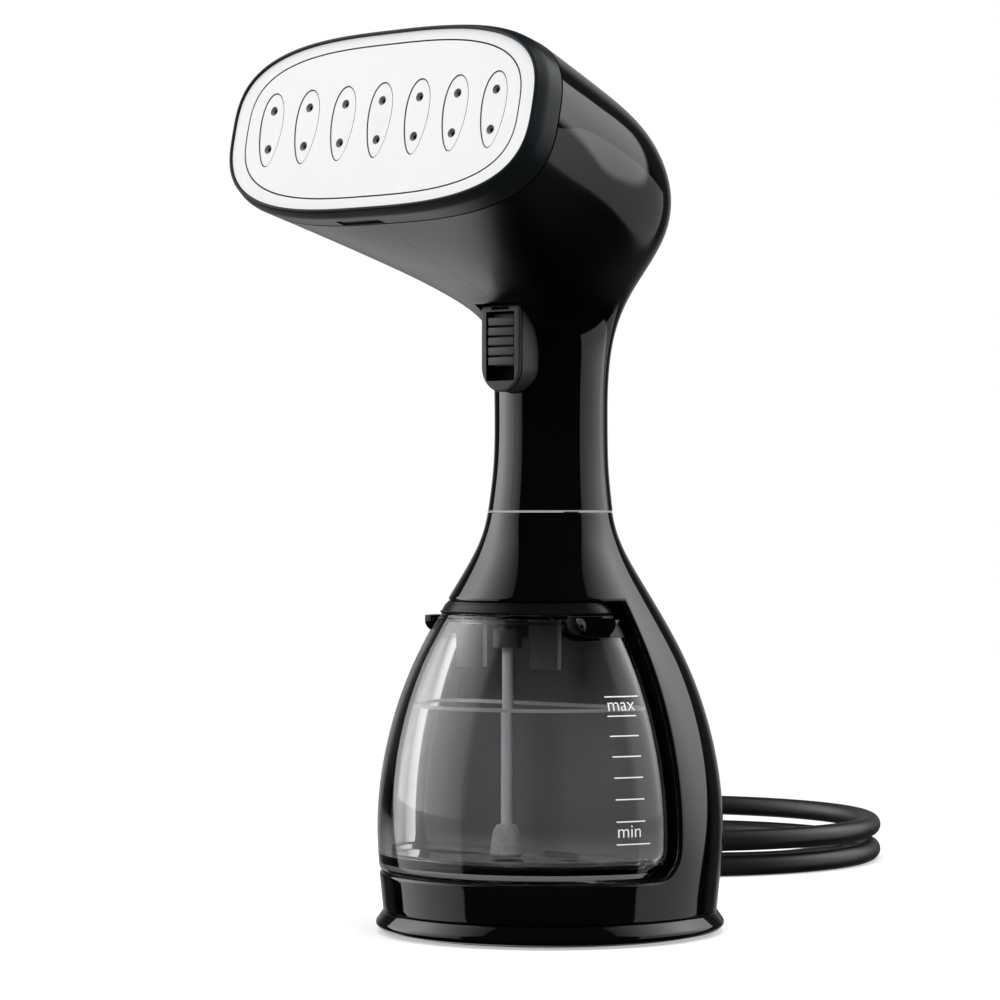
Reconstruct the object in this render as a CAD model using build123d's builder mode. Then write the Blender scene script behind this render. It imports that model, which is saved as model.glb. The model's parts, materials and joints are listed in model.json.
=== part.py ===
from build123d import *
import os
from math import cos, hypot, pi, radians, sin, sqrt, tan

os.makedirs("parts", exist_ok=True)

# Driving dimensions in millimetres.
# The origin is the middle of the base on the floor, +Z is up and the steam plate faces -Y.

wall = 2.4
slack = 0.4

# Base and bell-shaped lower body.
pad_radius = 52.0
pad_height = 1.2
foot_radius = 57.0
foot_edge_low = 2.6
foot_edge_high = 3.8
foot_top = 7.2
foot_floor = 4.2
spigot_top = 10.0
body_bottom = 7.4
split_height = 137.0
trim_height = 0.6
bell_line = [(54.6, body_bottom), (56.6, 31.0), (53.4, 62.0), (43.0, 91.5), (30.2, 114.0), (22.6, 128.5),
             (20.4, split_height)]
base_screw_circle = 45.0
base_screw_count = 3

# Water tank and the bay that it slides into.
tank_bottom = 20.4
tank_lid_bottom = 104.0
tank_top = 107.9
tank_rear = -0.6
tank_joint = -4.2
tank_wall = 2.2
tank_corner = 9.6
tank_rear_corner = 7.0
bay_bottom = 20.0
bay_top = 108.4
bay_corner = 10.0
liner = 2.2
liner_front = 1.0
tube_y = -21.0
nozzle_z = 98.5
nozzle_radius = 3.0
tube_radius = 1.8
filter_bottom = 26.0
filter_top = 36.0
panel_inner = 9.6
panel_outer = 21.5
panel_bottom = 86.0
stem_radius = 2.0
holder_bottom = 92.6
holder_top = 98.4
tube_grip = 3.0

# Latch buttons of the tank, one on each side.
latch_low = 97.4
latch_high = 103.2
latch_front = -24.0
latch_rear = -13.5
latch_inner = 31.0
latch_tip = 39.0
latch_front_tip = 34.0
latch_tongue_end = 3.6
latch_travel = 2.2
latch_middle = (latch_low + latch_high) / 2
pocket_inner = latch_inner - latch_travel - 1.7
pocket_wall = 1.6
tongue_width = 2.6
tongue_height = 4.4

# Head and steam plate. The plate leans back by plate_lean.
plate_lean = 13.0
face_y = -83.4
face_z = 258.8
bezel_depth = 11.0
face_half_width = 65.0
face_half_height = 30.6
face_power = 3.0
bezel_band = 3.0
plate_recess = 0.8
plate_thickness = 3.0
drop_pitch = 15.6
drop_count = 7
drop_top_radius = 5.2
drop_bottom_radius = 2.6
drop_length = 24.0
hole_spacing = 12.7
hole_radius = 0.75

# Neck and head from bottom to top. Each row is one section: the depth and height of its point on the front or
# underside, the depth and height of its point on the back or top, its half width and its superellipse power.
neck_bottom = split_height + trim_height
neck_sections = [(-20.2, neck_bottom, 20.6, neck_bottom, 20.4, 2.0),
                 (-18.6, 150.0, 19.5, 150.0, 19.0, 2.0),
                 (-18.0, 165.0, 19.2, 165.0, 18.5, 2.0),
                 (-18.0, 182.0, 19.8, 184.0, 18.8, 2.0),
                 (-21.0, 198.0, 27.0, 210.0, 23.5, 2.15),
                 (-33.0, 206.5, 34.5, 231.5, 36.0, 2.35),
                 (-49.0, 213.0, 22.0, 257.0, 47.0, 2.5),
                 (-65.0, 219.5, -20.0, 275.5, 56.0, 2.7)]
section_steps = 3
half_ring_steps = 12

# Trigger on the front of the neck, and the ribbed slider in its face.
trigger_face = -25.0
trigger_back = -10.2
flange_thickness = 1.4
trigger_width = 16.6
trigger_low = 175.7
trigger_high = 203.8
trigger_travel = 3.5
slot_width = 12.0
slot_low = 179.3
slot_high = 201.7
slot_depth = 5.4
slider_low = 184.1
slider_high = 201.2
slider_ribs = 5
rib_pitch = 3.2
rib_height = 2.4
rib_recess = 0.8

# Supply cord. It leaves the rear of the base and lies behind it in a loose coil.
cord_radius = 4.0
cord_height = 22.0
boot_tip = 71.0
coil_centre = (-125.5, 221.1)
coil_turn_start = 220.0
floor_layer = 4.1
lead_points = [(0.0, boot_tip, cord_height), (0.0, 95.0, cord_height), (-12.0, 115.8, 20.4),
               (-38.0, 130.8, 17.6), (-87.9, 134.3, 14.6), (-143.4, 126.5, 14.0), (-177.8, 141.9, 15.0),
               (-195.2, 162.6, 15.0)]
tail_points = [(-74.9, 263.5, floor_layer), (-56.9, 242.05, floor_layer), (-52.07, 214.51, floor_layer),
               (-60.95, 190.09, floor_layer), (-80.87, 173.38, floor_layer), (-104.51, 169.21, 5.6),
               (-127.08, 177.42, 8.1), (-142.51, 195.81, 8.1)]
coil_radii = [91.0, 85.0, 82.0, 82.0, 82.0, 82.0, 82.0, 81.0, 74.0, 71.6, 66.0]
coil_heights = [15.0, 14.2, 13.7, 13.7, 11.2, 4.1, 4.1, 4.1, 4.1, 4.1, 4.1]


def bell(inset):
    """Solid bell, its skin moved in by inset."""
    with BuildPart() as solid:
        with BuildSketch(Plane.XZ):
            with BuildLine():
                skin = Spline(*[(r - inset, z) for r, z in bell_line], tangents=[(0.09, 1), (-0.16, 1)])
                Polyline(skin @ 1, (0, split_height), (0, body_bottom), skin @ 0)
            make_face()
        revolve(axis=Axis.Z)
    return solid.part


def side_prism(y_low, y_high, z_low, z_high, corner):
    """Block across the whole width, with its lower rear edge rounded."""
    with BuildPart() as block:
        with BuildSketch(Plane.YZ) as side:
            with Locations(((y_low + y_high) / 2, (z_low + z_high) / 2)):
                Rectangle(y_high - y_low, z_high - z_low)
            if corner:
                rear_low = side.vertices().group_by(Axis.X)[-1].sort_by(Axis.Y)[0]
                fillet(rear_low, corner)
        extrude(amount=70, both=True)
    return block.part


def ring_points(half_width, half_height, power, count=32):
    """Points of a superellipse in its own plane."""
    points = []
    for step in range(count):
        turn = 2 * pi * step / count
        across = abs(cos(turn)) ** (2 / power) * (1 if cos(turn) >= 0 else -1)
        along = abs(sin(turn)) ** (2 / power) * (1 if sin(turn) >= 0 else -1)
        points.append((half_width * across, half_height * along))
    return points


def face_plane(depth):
    """Plane parallel to the steam plate, depth behind the front of the bezel."""
    lean = radians(plate_lean)
    origin = (0, face_y + depth * cos(lean), face_z - depth * sin(lean))
    return Plane(origin=origin, x_dir=(1, 0, 0), z_dir=(0, -cos(lean), sin(lean)))


def rounded_face(half_width, half_height, power=face_power):
    """Face inside a superellipse."""
    with BuildSketch() as outline:
        with BuildLine():
            Spline(*ring_points(half_width, half_height, power), periodic=True)
        make_face()
    return outline.sketch


def section_plane(low, high):
    """Plane of one head section, from its point on the underside to its point on the back."""
    span = hypot(high[0] - low[0], high[1] - low[1])
    up = ((high[0] - low[0]) / span, (high[1] - low[1]) / span)
    middle = (0, (low[0] + high[0]) / 2, (low[1] + high[1]) / 2)
    return Plane(origin=middle, x_dir=(1, 0, 0), z_dir=(0, -up[1], up[0])), span / 2


def half_ring(half_width, half_height, power):
    """Points of the right half of a superellipse, from its top to its bottom."""
    points = [(0.0, half_height)]
    for step in range(1, half_ring_steps):
        turn = pi / 2 - pi * step / half_ring_steps
        along = abs(sin(turn)) ** (2 / power) * (1 if sin(turn) >= 0 else -1)
        points.append((half_width * cos(turn) ** (2 / power), half_height * along))
    return points + [(0.0, -half_height)]


def glide(before, start, end, after, t):
    """Smooth step between two values, with the slope that their neighbours give."""
    rise = end - before
    bend = 2 * before - 5 * start + 4 * end - after
    twist = 3 * start - before - 3 * end + after
    return start + 0.5 * (rise * t + bend * t ** 2 + twist * t ** 3)


def head_sections():
    """Sections of neck and head: lower point, upper point, half width and power, with steps between them."""
    lean = radians(plate_lean)
    rim_y = face_y + bezel_depth * cos(lean)
    rim_z = face_z - bezel_depth * sin(lean)
    reach_y = face_half_height * sin(lean)
    reach_z = face_half_height * cos(lean)
    rim = (rim_y - reach_y, rim_z - reach_z, rim_y + reach_y, rim_z + reach_z, face_half_width, face_power)
    main = neck_sections + [rim]
    rows = []
    for place in range(len(main) - 1):
        near = [main[max(place - 1, 0)], main[place], main[place + 1], main[min(place + 2, len(main) - 1)]]
        for step in range(section_steps):
            rows.append(tuple(glide(*values, step / section_steps) for values in zip(*near)))
    return rows + [rim]


def head_half(inset, overlap, stretch):
    """Right half of neck and head: skin moved in by inset, flat side moved past the middle by overlap."""
    rows = head_sections()
    with BuildPart() as solid:
        for place, (low_y, low_z, high_y, high_z, half_width, power) in enumerate(rows):
            plane, half_height = section_plane((low_y, low_z), (high_y, high_z))
            if place == 0:
                plane = plane.offset(-stretch)
            if place == len(rows) - 1:
                plane = plane.offset(stretch)
            edge = half_height - inset
            with BuildSketch(plane):
                with BuildLine():
                    Spline(*half_ring(half_width - inset, edge, power), tangents=[(1, 0), (-1, 0)])
                    if overlap:
                        Polyline((0, -edge), (-overlap, -edge), (-overlap, edge), (0, edge))
                    else:
                        Line((0, -edge), (0, edge))
                make_face()
        loft(ruled=True)
    return solid.part


def trigger_face_outline(grow):
    """Front view of the trigger, grown all round: a block with a half-round lower end."""
    half = trigger_width / 2
    with BuildSketch() as outline:
        with Locations((0, (trigger_low + half + trigger_high) / 2)):
            Rectangle(trigger_width + 2 * grow, trigger_high - trigger_low - half + 2 * grow)
        with Locations((0, trigger_low + half)):
            Circle(half + grow)
    return outline.sketch


def bend_radii(points):
    """Radius at each inner point of a route: 0.45 of the shorter run over the tangent of half the turn."""
    radii = []
    for before, here, after in zip(points, points[1:], points[2:]):
        first = Vector(*here) - Vector(*before)
        second = Vector(*after) - Vector(*here)
        half_turn = radians(first.get_angle(second)) / 2
        radii.append(0.45 * min(first.length, second.length) / tan(half_turn))
    return radii


def round_tube(points, radius, label):
    """Tube along straight runs and tangent arcs."""
    radii = bend_radii(points)
    with BuildPart() as tube:
        with BuildLine() as route:
            FilletPolyline(*points, radius=radii)
        path = route.wires()[0]
        with BuildSketch(Plane(origin=path @ 0, z_dir=path % 0)):
            Circle(radius)
        sweep(path=path)
    ratio = tube.part.volume / (pi * radius ** 2 * path.length)
    print(label, "radii", [round(r, 1) for r in radii])
    print(label, "length", round(path.length, 1), "volume ratio", round(ratio, 3))
    return tube.part


def coil_spring(start, direction, outer_radius, wire_radius, length, turns):
    """Wound compression spring."""
    mean = outer_radius - wire_radius
    with BuildPart() as spring:
        with BuildLine():
            curl = Helix(pitch=length / turns, height=length, radius=mean, center=start, direction=direction)
        with BuildSketch(Plane(origin=curl @ 0, z_dir=curl % 0)):
            Circle(wire_radius)
        sweep(path=curl)
    return spring.part


def screw(start, direction, head_radius, head_height, shank_radius, length):
    """Screw with a domed head under start and its shank along direction."""
    with BuildPart() as fastener:
        with BuildSketch(Plane(origin=start, z_dir=direction)):
            Circle(head_radius)
        extrude(amount=head_height)
        with BuildSketch(Plane(origin=start, z_dir=direction).offset(head_height)):
            Circle(shank_radius)
        extrude(amount=length)
    return fastener.part


def write(piece, label):
    """Label one finished piece and write it."""
    piece.label = label
    export_step(piece, "parts/" + label + ".step")


bell_skin = bell(0)
bell_core = bell(wall)
liner_core = bell(wall + 0.15)
tank_skin = bell(0.15)
tank_core = bell(0.15 + tank_wall)
bay_block = side_prism(-70, 0, bay_bottom, bay_top, bay_corner)
tank_block = side_prism(-70, tank_rear, tank_bottom, tank_top, tank_corner)
water_block = side_prism(-70, tank_rear - tank_wall, tank_bottom + tank_wall, tank_lid_bottom,
                         tank_corner - tank_wall)
liner_block = side_prism(-70, liner_front + liner, bay_bottom - 0.4 - liner, bay_top + 0.4 + liner, 0)
liner_space = side_prism(-70, liner_front, bay_bottom - 0.4, bay_top + 0.4, 0)
vessel_block = side_prism(-70, tank_joint, 10, tank_lid_bottom, 0)
back_block = side_prism(tank_joint, 20, 10, tank_lid_bottom, 0)
lid_block = side_prism(-70, 20, tank_lid_bottom, tank_top + 1, 0)

# Non-slip pad under the base.
with BuildPart() as base_pad:
    Cylinder(pad_radius, pad_height, align=(Align.CENTER, Align.CENTER, Align.MIN))
write(base_pad.part, "base_pad")

# Flared foot with a spigot that locates the body.
with BuildPart() as base_foot:
    with BuildSketch(Plane.XZ):
        with BuildLine():
            Polyline((0, pad_height), (foot_radius - 1.4, pad_height), (foot_radius, foot_edge_low),
                     (foot_radius, foot_edge_high), (bell_line[0][0] - 0.3, foot_top), (51.9, foot_top),
                     (51.9, spigot_top), (49.9, spigot_top), (49.9, foot_floor), (0, foot_floor), close=True)
        make_face()
    revolve(axis=Axis.Z)
    with BuildSketch(Plane.XY.offset(pad_height)):
        with PolarLocations(base_screw_circle, base_screw_count, start_angle=30):
            Circle(2.9)
    extrude(amount=1.6, mode=Mode.SUBTRACT)
    with BuildSketch(Plane.XY.offset(pad_height)):
        with PolarLocations(base_screw_circle, base_screw_count, start_angle=30):
            Circle(1.7)
    extrude(amount=4, mode=Mode.SUBTRACT)
write(base_foot.part, "base_foot")

# Rear body shell: band, spine and collar in one moulding, open at the front for the tank.
with BuildPart() as lower_housing:
    add(bell_skin)
    add(bell_core, mode=Mode.SUBTRACT)
    add(bay_block, mode=Mode.SUBTRACT)
    with PolarLocations(base_screw_circle, base_screw_count, start_angle=30):
        with Locations((0, 0, spigot_top + 0.6)):
            Cylinder(3.6, 6.2, align=(Align.CENTER, Align.CENTER, Align.MIN))
        with Locations((4.2, 0, spigot_top + 0.6)):
            Box(8.4, 2.0, 6.2, align=(Align.CENTER, Align.CENTER, Align.MIN))
        with Locations((0, 0, spigot_top)):
            Cylinder(1.4, 6.0, align=(Align.CENTER, Align.CENTER, Align.MIN), mode=Mode.SUBTRACT)
    with BuildSketch(Plane.XZ.offset(-45)):
        with Locations((0, cord_height)):
            Circle(6.2)
    extrude(amount=-16, mode=Mode.SUBTRACT)
write(lower_housing.part, "lower_housing")

# Inner wall, floor and ceiling of the tank bay, with a slot for each latch tongue.
slot_inner = latch_inner - latch_travel - 0.8
slot_outer = latch_inner + tongue_width + 0.8
with BuildPart() as bay_liner:
    add(liner_core)
    add(liner_block, mode=Mode.INTERSECT)
    add(liner_space, mode=Mode.SUBTRACT)
    with BuildSketch(Plane.XZ.offset(-0.5)):
        with Locations((0, nozzle_z)):
            Circle(5.6)
        for side in (-1, 1):
            with Locations((side * (slot_inner + slot_outer) / 2, latch_middle)):
                Rectangle(slot_outer - slot_inner, tongue_height + 1.8)
    extrude(amount=-4, mode=Mode.SUBTRACT)
write(bay_liner.part, "bay_liner")

# Thin light ring that marks the joint between body and handle.
with BuildPart() as neck_trim_ring:
    with BuildSketch(Plane.XY.offset(split_height)):
        Circle(20.7)
        Circle(16.8, mode=Mode.SUBTRACT)
    extrude(amount=trim_height)
write(neck_trim_ring.part, "neck_trim_ring")

# Screws that hold the foot to the body.
base_screw = screw((0, 0, pad_height + 0.1), (0, 0, 1), 2.7, 1.5, 1.3, 13.0)
with BuildPart() as base_screws:
    with PolarLocations(base_screw_circle, base_screw_count, start_angle=30):
        add(base_screw)
write(base_screws.part, "base_screws")

# Pockets for the latch buttons, cut from the upper rear corners of the tank.
with BuildPart() as latch_pockets:
    for side in (-1, 1):
        with Locations((side * (pocket_inner + 60) / 2, (latch_front - 0.6 + 5) / 2, latch_middle)):
            Box(60 - pocket_inner, 5.6 - latch_front, latch_high - latch_low + 1.2)
with BuildPart() as pocket_walls:
    for side in (-1, 1):
        pocket_front = latch_front - 0.6 - pocket_wall
        pocket_floor = latch_low - 0.6 - pocket_wall
        with Locations((side * (pocket_inner - pocket_wall + 60) / 2, (pocket_front + 5) / 2, pocket_floor)):
            Box(60 + pocket_wall - pocket_inner, 5 - pocket_front, tank_lid_bottom - pocket_floor,
                align=(Align.CENTER, Align.CENTER, Align.MIN))

# Outer form of the tank and the water space in it, both with rounded rear corners.
with BuildPart() as tank_form:
    add(tank_skin)
    add(tank_block, mode=Mode.INTERSECT)
    rear_edges = tank_form.faces().sort_by(Axis.Y)[-1].edges().filter_by(GeomType.LINE, reverse=True)
    fillet(rear_edges, tank_rear_corner)
with BuildPart() as tank_water:
    add(tank_core)
    add(water_block, mode=Mode.INTERSECT)
    water_edges = tank_water.faces().sort_by(Axis.Y)[-1].edges().filter_by(GeomType.LINE, reverse=True)
    fillet(water_edges, tank_rear_corner - tank_wall)
    add(pocket_walls.part, mode=Mode.SUBTRACT)

# Smoked front vessel of the tank.
with BuildPart() as tank_shell:
    add(tank_form.part)
    add(tank_water.part, mode=Mode.SUBTRACT)
    add(latch_pockets.part, mode=Mode.SUBTRACT)
    add(vessel_block, mode=Mode.INTERSECT)
write(tank_shell.part, "tank_shell")

# Dark back wall of the tank, welded to the vessel.
with BuildPart() as tank_back:
    add(tank_form.part)
    add(tank_water.part, mode=Mode.SUBTRACT)
    add(latch_pockets.part, mode=Mode.SUBTRACT)
    add(back_block, mode=Mode.INTERSECT)
    with BuildSketch(Plane.XZ.offset(-10)):
        with Locations((0, nozzle_z)):
            Circle(nozzle_radius + 0.2)
    extrude(amount=20, mode=Mode.SUBTRACT)
write(tank_back.part, "tank_back")

# Lid plate that closes the top of the tank.
with BuildPart() as tank_lid:
    add(tank_form.part)
    add(lid_block, mode=Mode.INTERSECT)
write(tank_lid.part, "tank_lid")

# Splash baffle: two milky panels that hang from a strip under the lid, one on each side of the suction tube.
with BuildPart() as splash_baffle:
    with BuildSketch(Plane.XY.offset(tank_lid_bottom - 2)):
        with Locations((0, tube_y)):
            Rectangle(2 * panel_outer, 6)
            Circle(stem_radius + 0.4, mode=Mode.SUBTRACT)
    extrude(amount=2)
    with BuildSketch(Plane.XY.offset(panel_bottom)):
        for side in (-1, 1):
            with Locations((side * (panel_inner + panel_outer) / 2, tube_y)):
                Rectangle(panel_outer - panel_inner, 1.8)
    extrude(amount=tank_lid_bottom - 2 - panel_bottom)
write(splash_baffle.part, "splash_baffle")

# Holder that grips the suction tube and carries the outlet nozzle.
with BuildPart() as tube_holder:
    with Locations((0, tube_y, holder_bottom)):
        Cylinder(4.6, holder_top - holder_bottom, align=(Align.CENTER, Align.CENTER, Align.MIN))
    with Locations((0, tube_y, holder_top)):
        Cylinder(stem_radius, tank_lid_bottom - holder_top, align=(Align.CENTER, Align.CENTER, Align.MIN))
    with BuildSketch(Plane.XZ.offset(-tube_y)):
        with Locations((0, nozzle_z)):
            Circle(nozzle_radius)
    extrude(amount=tube_y - 7)
    with BuildSketch(Plane.XZ.offset(-tube_y)):
        with Locations((0, nozzle_z)):
            Circle(1.5)
    extrude(amount=tube_y - 8, mode=Mode.SUBTRACT)
    with Locations((0, tube_y, holder_bottom)):
        Cylinder(tube_radius + 0.1, tube_grip, align=(Align.CENTER, Align.CENTER, Align.MIN),
                 mode=Mode.SUBTRACT)
    with Locations((0, tube_y, holder_bottom)):
        Cylinder(1.2, nozzle_z - holder_bottom, align=(Align.CENTER, Align.CENTER, Align.MIN),
                 mode=Mode.SUBTRACT)
write(tube_holder.part, "tube_holder")

# Suction tube and the weighted filter at its lower end.
with BuildPart() as suction_tube:
    with BuildSketch(Plane.XY.offset(filter_top - 5)):
        with Locations((0, tube_y)):
            Circle(tube_radius)
            Circle(1.1, mode=Mode.SUBTRACT)
    extrude(amount=holder_bottom + tube_grip - 0.1 - filter_top + 5)
write(suction_tube.part, "suction_tube")

with BuildPart() as suction_filter:
    with BuildSketch(Plane.XY.offset(filter_bottom)):
        with Locations((0, tube_y)):
            Circle(5.2)
    with BuildSketch(Plane.XY.offset(filter_top)):
        with Locations((0, tube_y)):
            Circle(3.6)
    loft()
    with Locations((0, tube_y, filter_top - 5.1)):
        Cylinder(tube_radius + 0.1, 6, align=(Align.CENTER, Align.CENTER, Align.MIN), mode=Mode.SUBTRACT)
write(suction_filter.part, "suction_filter")


def latch_button(side):
    """Push button of one latch, with the tongue that enters the bay wall."""
    with BuildPart() as button:
        with BuildSketch(Plane.XY.offset(latch_low)):
            with BuildLine():
                Polyline((latch_inner, latch_front), (latch_front_tip, latch_front), (latch_tip, latch_rear),
                         (latch_inner, latch_rear), close=True)
            make_face()
        extrude(amount=latch_high - latch_low)
        outer_edges = button.faces().sort_by(Axis.X)[-1].edges().sort_by(Axis.Z)
        chamfer(outer_edges[0], 2.4)
        fillet(outer_edges[-1], 0.8)
        with BuildSketch(Plane.XZ.offset(-latch_rear)):
            with Locations((latch_inner + tongue_width / 2, latch_middle)):
                Rectangle(tongue_width, tongue_height)
        extrude(amount=latch_rear - latch_tongue_end)
        if side < 0:
            mirror(about=Plane.YZ, mode=Mode.REPLACE)
    return button.part


for side, word in ((1, "right"), (-1, "left")):
    write(latch_button(side), "latch_button_" + word)
    spring_start = (side * (pocket_inner + 0.3), (latch_front + latch_rear) / 2, latch_middle)
    write(coil_spring(spring_start, (side, 0, 0), 2.6, 0.25, latch_inner - pocket_inner - 0.6, 3),
          "latch_spring_" + word)

# Socket in the bay wall that takes the nozzle, with its sealing ring.
with BuildPart() as dock_socket:
    with BuildSketch(Plane.XZ.offset(-1.2)):
        with Locations((0, nozzle_z)):
            Circle(5.4)
    extrude(amount=-14.0)
    with BuildSketch(Plane.XZ.offset(-(liner + 1.1))):
        with Locations((0, nozzle_z)):
            Circle(8.0)
    extrude(amount=-2.0)
    with BuildSketch(Plane.XZ.offset(-1.0)):
        with Locations((0, nozzle_z)):
            Circle(nozzle_radius + 0.4)
    extrude(amount=-8.5, mode=Mode.SUBTRACT)
    with BuildSketch(Plane.XZ.offset(-2.4)):
        with Locations((0, nozzle_z)):
            Circle(nozzle_radius + 1.5)
    extrude(amount=-2.0, mode=Mode.SUBTRACT)
    with BuildSketch(Plane.XZ.offset(-9.0)):
        with Locations((0, nozzle_z)):
            Circle(1.6)
    extrude(amount=-10, mode=Mode.SUBTRACT)
write(dock_socket.part, "dock_socket")

with BuildPart() as dock_seal:
    with BuildSketch(Plane.XZ.offset(-2.5)):
        with Locations((0, nozzle_z)):
            Circle(nozzle_radius + 1.45)
            Circle(nozzle_radius + 0.15, mode=Mode.SUBTRACT)
    extrude(amount=-1.8)
write(dock_seal.part, "dock_seal")

# Handle and head, moulded as two halves that meet on the middle plane and are screwed together on two posts.
post_places = [(11.0, 151.0), (6.0, 238.0)]
half_skin = head_half(0, 0, 0)
half_core = head_half(wall, 1.0, 0.8)
with BuildPart() as posts:
    with BuildSketch(Plane.YZ):
        with Locations(*post_places):
            Circle(3.6)
    extrude(amount=70)
    add(half_skin, mode=Mode.INTERSECT)
with BuildPart() as plain_half:
    add(half_skin)
    add(half_core, mode=Mode.SUBTRACT)
    add(posts.part)
    with BuildSketch(Plane.XZ.offset(11)):
        add(trigger_face_outline(slack))
    extrude(amount=slack - trigger_face - 11, mode=Mode.SUBTRACT)
    with BuildSketch(Plane.YZ):
        with Locations(*post_places):
            Circle(1.5)
    extrude(amount=9, mode=Mode.SUBTRACT)
write(plain_half.part, "upper_housing_right")

with BuildPart() as left_half:
    mirror(plain_half.part, about=Plane.YZ)
    with BuildSketch(Plane.YZ.offset(-6)):
        with Locations(*post_places):
            Circle(3.0)
    extrude(amount=-60, mode=Mode.SUBTRACT)
write(left_half.part, "upper_housing_left")

screw_seat = -8.6
screw_pair = [screw((screw_seat, y, z), (1, 0, 0), 2.8, 2.4, 1.4, 14.0) for y, z in post_places]
with BuildPart() as housing_screws:
    add(screw_pair)
write(housing_screws.part, "housing_screws")

# Bezel that frames the steam plate, with a clip notch under its lower edge.
with BuildPart() as head_bezel:
    with BuildSketch(face_plane(bezel_depth - 0.1)):
        add(rounded_face(face_half_width, face_half_height))
    extrude(amount=bezel_depth - 0.1)
    fillet(head_bezel.faces().sort_by(Axis.Y)[0].edges(), 2.4)
    with BuildSketch(face_plane(bezel_depth)):
        add(rounded_face(face_half_width - bezel_band, face_half_height - bezel_band))
    extrude(amount=bezel_depth, mode=Mode.SUBTRACT)
    with BuildSketch(face_plane(6.0)):
        with Locations((-8, -face_half_height)):
            Rectangle(18, 2.6)
    extrude(amount=3.4, mode=Mode.SUBTRACT)
write(head_bezel.part, "head_bezel")

# Steam plate with its border groove, drop-shaped recesses and countersunk steam holes.
plate_half_width = face_half_width - bezel_band - 0.2
plate_half_height = face_half_height - bezel_band - 0.2
plate_front = face_plane(plate_recess)
with BuildSketch() as drop:
    with Locations((0, drop_length / 2 - drop_top_radius)):
        Circle(drop_top_radius)
    with Locations((0, drop_bottom_radius - drop_length / 2)):
        Circle(drop_bottom_radius)
    make_hull()
with BuildPart() as steam_plate:
    with BuildSketch(face_plane(plate_recess + plate_thickness)):
        add(rounded_face(plate_half_width, plate_half_height))
    extrude(amount=plate_thickness)
    with BuildSketch(plate_front):
        add(rounded_face(plate_half_width - 4.6, plate_half_height - 2.6))
    extrude(amount=-0.4, mode=Mode.SUBTRACT)
    with BuildSketch(plate_front.offset(-0.4)):
        add(rounded_face(plate_half_width - 5.2, plate_half_height - 3.2))
    extrude(amount=0.4)
    with BuildSketch(plate_front):
        with GridLocations(drop_pitch, 0, drop_count, 1):
            add(drop.sketch)
    extrude(amount=-0.4, mode=Mode.SUBTRACT)
    with Locations(plate_front.offset(-0.4)):
        with GridLocations(drop_pitch, hole_spacing, drop_count, 2):
            CounterSinkHole(radius=hole_radius, counter_sink_radius=1.4)
write(steam_plate.part, "steam_plate")

# Silicone seal behind the rim of the plate.
heater_front = plate_recess + plate_thickness + 0.05
heater_back = 18.0
with BuildPart() as plate_seal:
    with BuildSketch(face_plane(heater_front + 2.2)):
        add(rounded_face(plate_half_width - 0.6, plate_half_height - 0.6))
        add(rounded_face(plate_half_width - 6.5, plate_half_height - 5.0), mode=Mode.SUBTRACT)
    extrude(amount=2.2)
write(plate_seal.part, "plate_seal")

# Cast steam chamber with the heating rod laid in its back.
rod_offset = 13.5
rod_radius = 3.2
with BuildPart() as heating_element:
    with BuildLine(face_plane(heater_back)) as rod_route:
        Line((-42, rod_offset), (38, rod_offset))
        ThreePointArc((38, rod_offset), (38 + rod_offset, 0), (38, -rod_offset))
        Line((38, -rod_offset), (-42, -rod_offset))
    rod_path = rod_route.wires()[0]
    with BuildSketch(Plane(origin=rod_path @ 0, z_dir=rod_path % 0)):
        Circle(rod_radius)
    sweep(path=rod_path)
write(heating_element.part, "heating_element")

with BuildPart() as heater_block:
    with BuildSketch(face_plane(heater_back)):
        add(rounded_face(plate_half_width - 7.6, plate_half_height - 5.8))
    extrude(amount=heater_back - heater_front)
    with BuildSketch(Plane(origin=rod_path @ 0, z_dir=rod_path % 0)):
        Circle(rod_radius + 0.2)
    sweep(path=rod_path, mode=Mode.SUBTRACT)
    with BuildSketch(face_plane(heater_back)):
        with Locations((-46, 0)):
            Rectangle(14, 2 * rod_offset + 2 * rod_radius + 1)
    extrude(amount=4, mode=Mode.SUBTRACT)
write(heater_block.part, "heater_block")

with BuildPart() as thermostat:
    with BuildSketch(face_plane(heater_back + 0.05)):
        Circle(8.0)
    extrude(amount=-4)
    with BuildSketch(face_plane(heater_back + 4.05)):
        Circle(5.6)
    extrude(amount=-5)
write(thermostat.part, "thermostat")

with BuildPart() as thermal_fuse:
    with BuildSketch(Plane(origin=face_plane(heater_back + 2.2).origin + (-30, 0, 0), z_dir=(1, 0, 0))):
        Circle(2.0)
    extrude(amount=16)
write(thermal_fuse.part, "thermal_fuse")

# Trigger with a retaining flange behind its face and a pocket for the slider.
with BuildPart() as trigger:
    with BuildSketch(Plane.XZ.offset(-trigger_back)):
        add(trigger_face_outline(0))
    extrude(amount=trigger_back - trigger_face)
    fillet(trigger.faces().sort_by(Axis.Y)[0].edges(), 0.9)
    with BuildSketch(Plane.XZ.offset(-trigger_back)):
        add(trigger_face_outline(1.5))
    extrude(amount=flange_thickness)
    with BuildSketch(Plane.XZ.offset(-trigger_face)):
        with Locations((0, (slot_low + slot_high) / 2)):
            RectangleRounded(slot_width, slot_high - slot_low, 0.8)
    extrude(amount=-slot_depth, mode=Mode.SUBTRACT)
    with BuildSketch(Plane.XZ.offset(-trigger_face)):
        with Locations((0, (slot_low + slot_high) / 2)):
            Rectangle(4.8, 12.0)
    extrude(amount=-12, mode=Mode.SUBTRACT)
write(trigger.part, "trigger")

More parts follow.
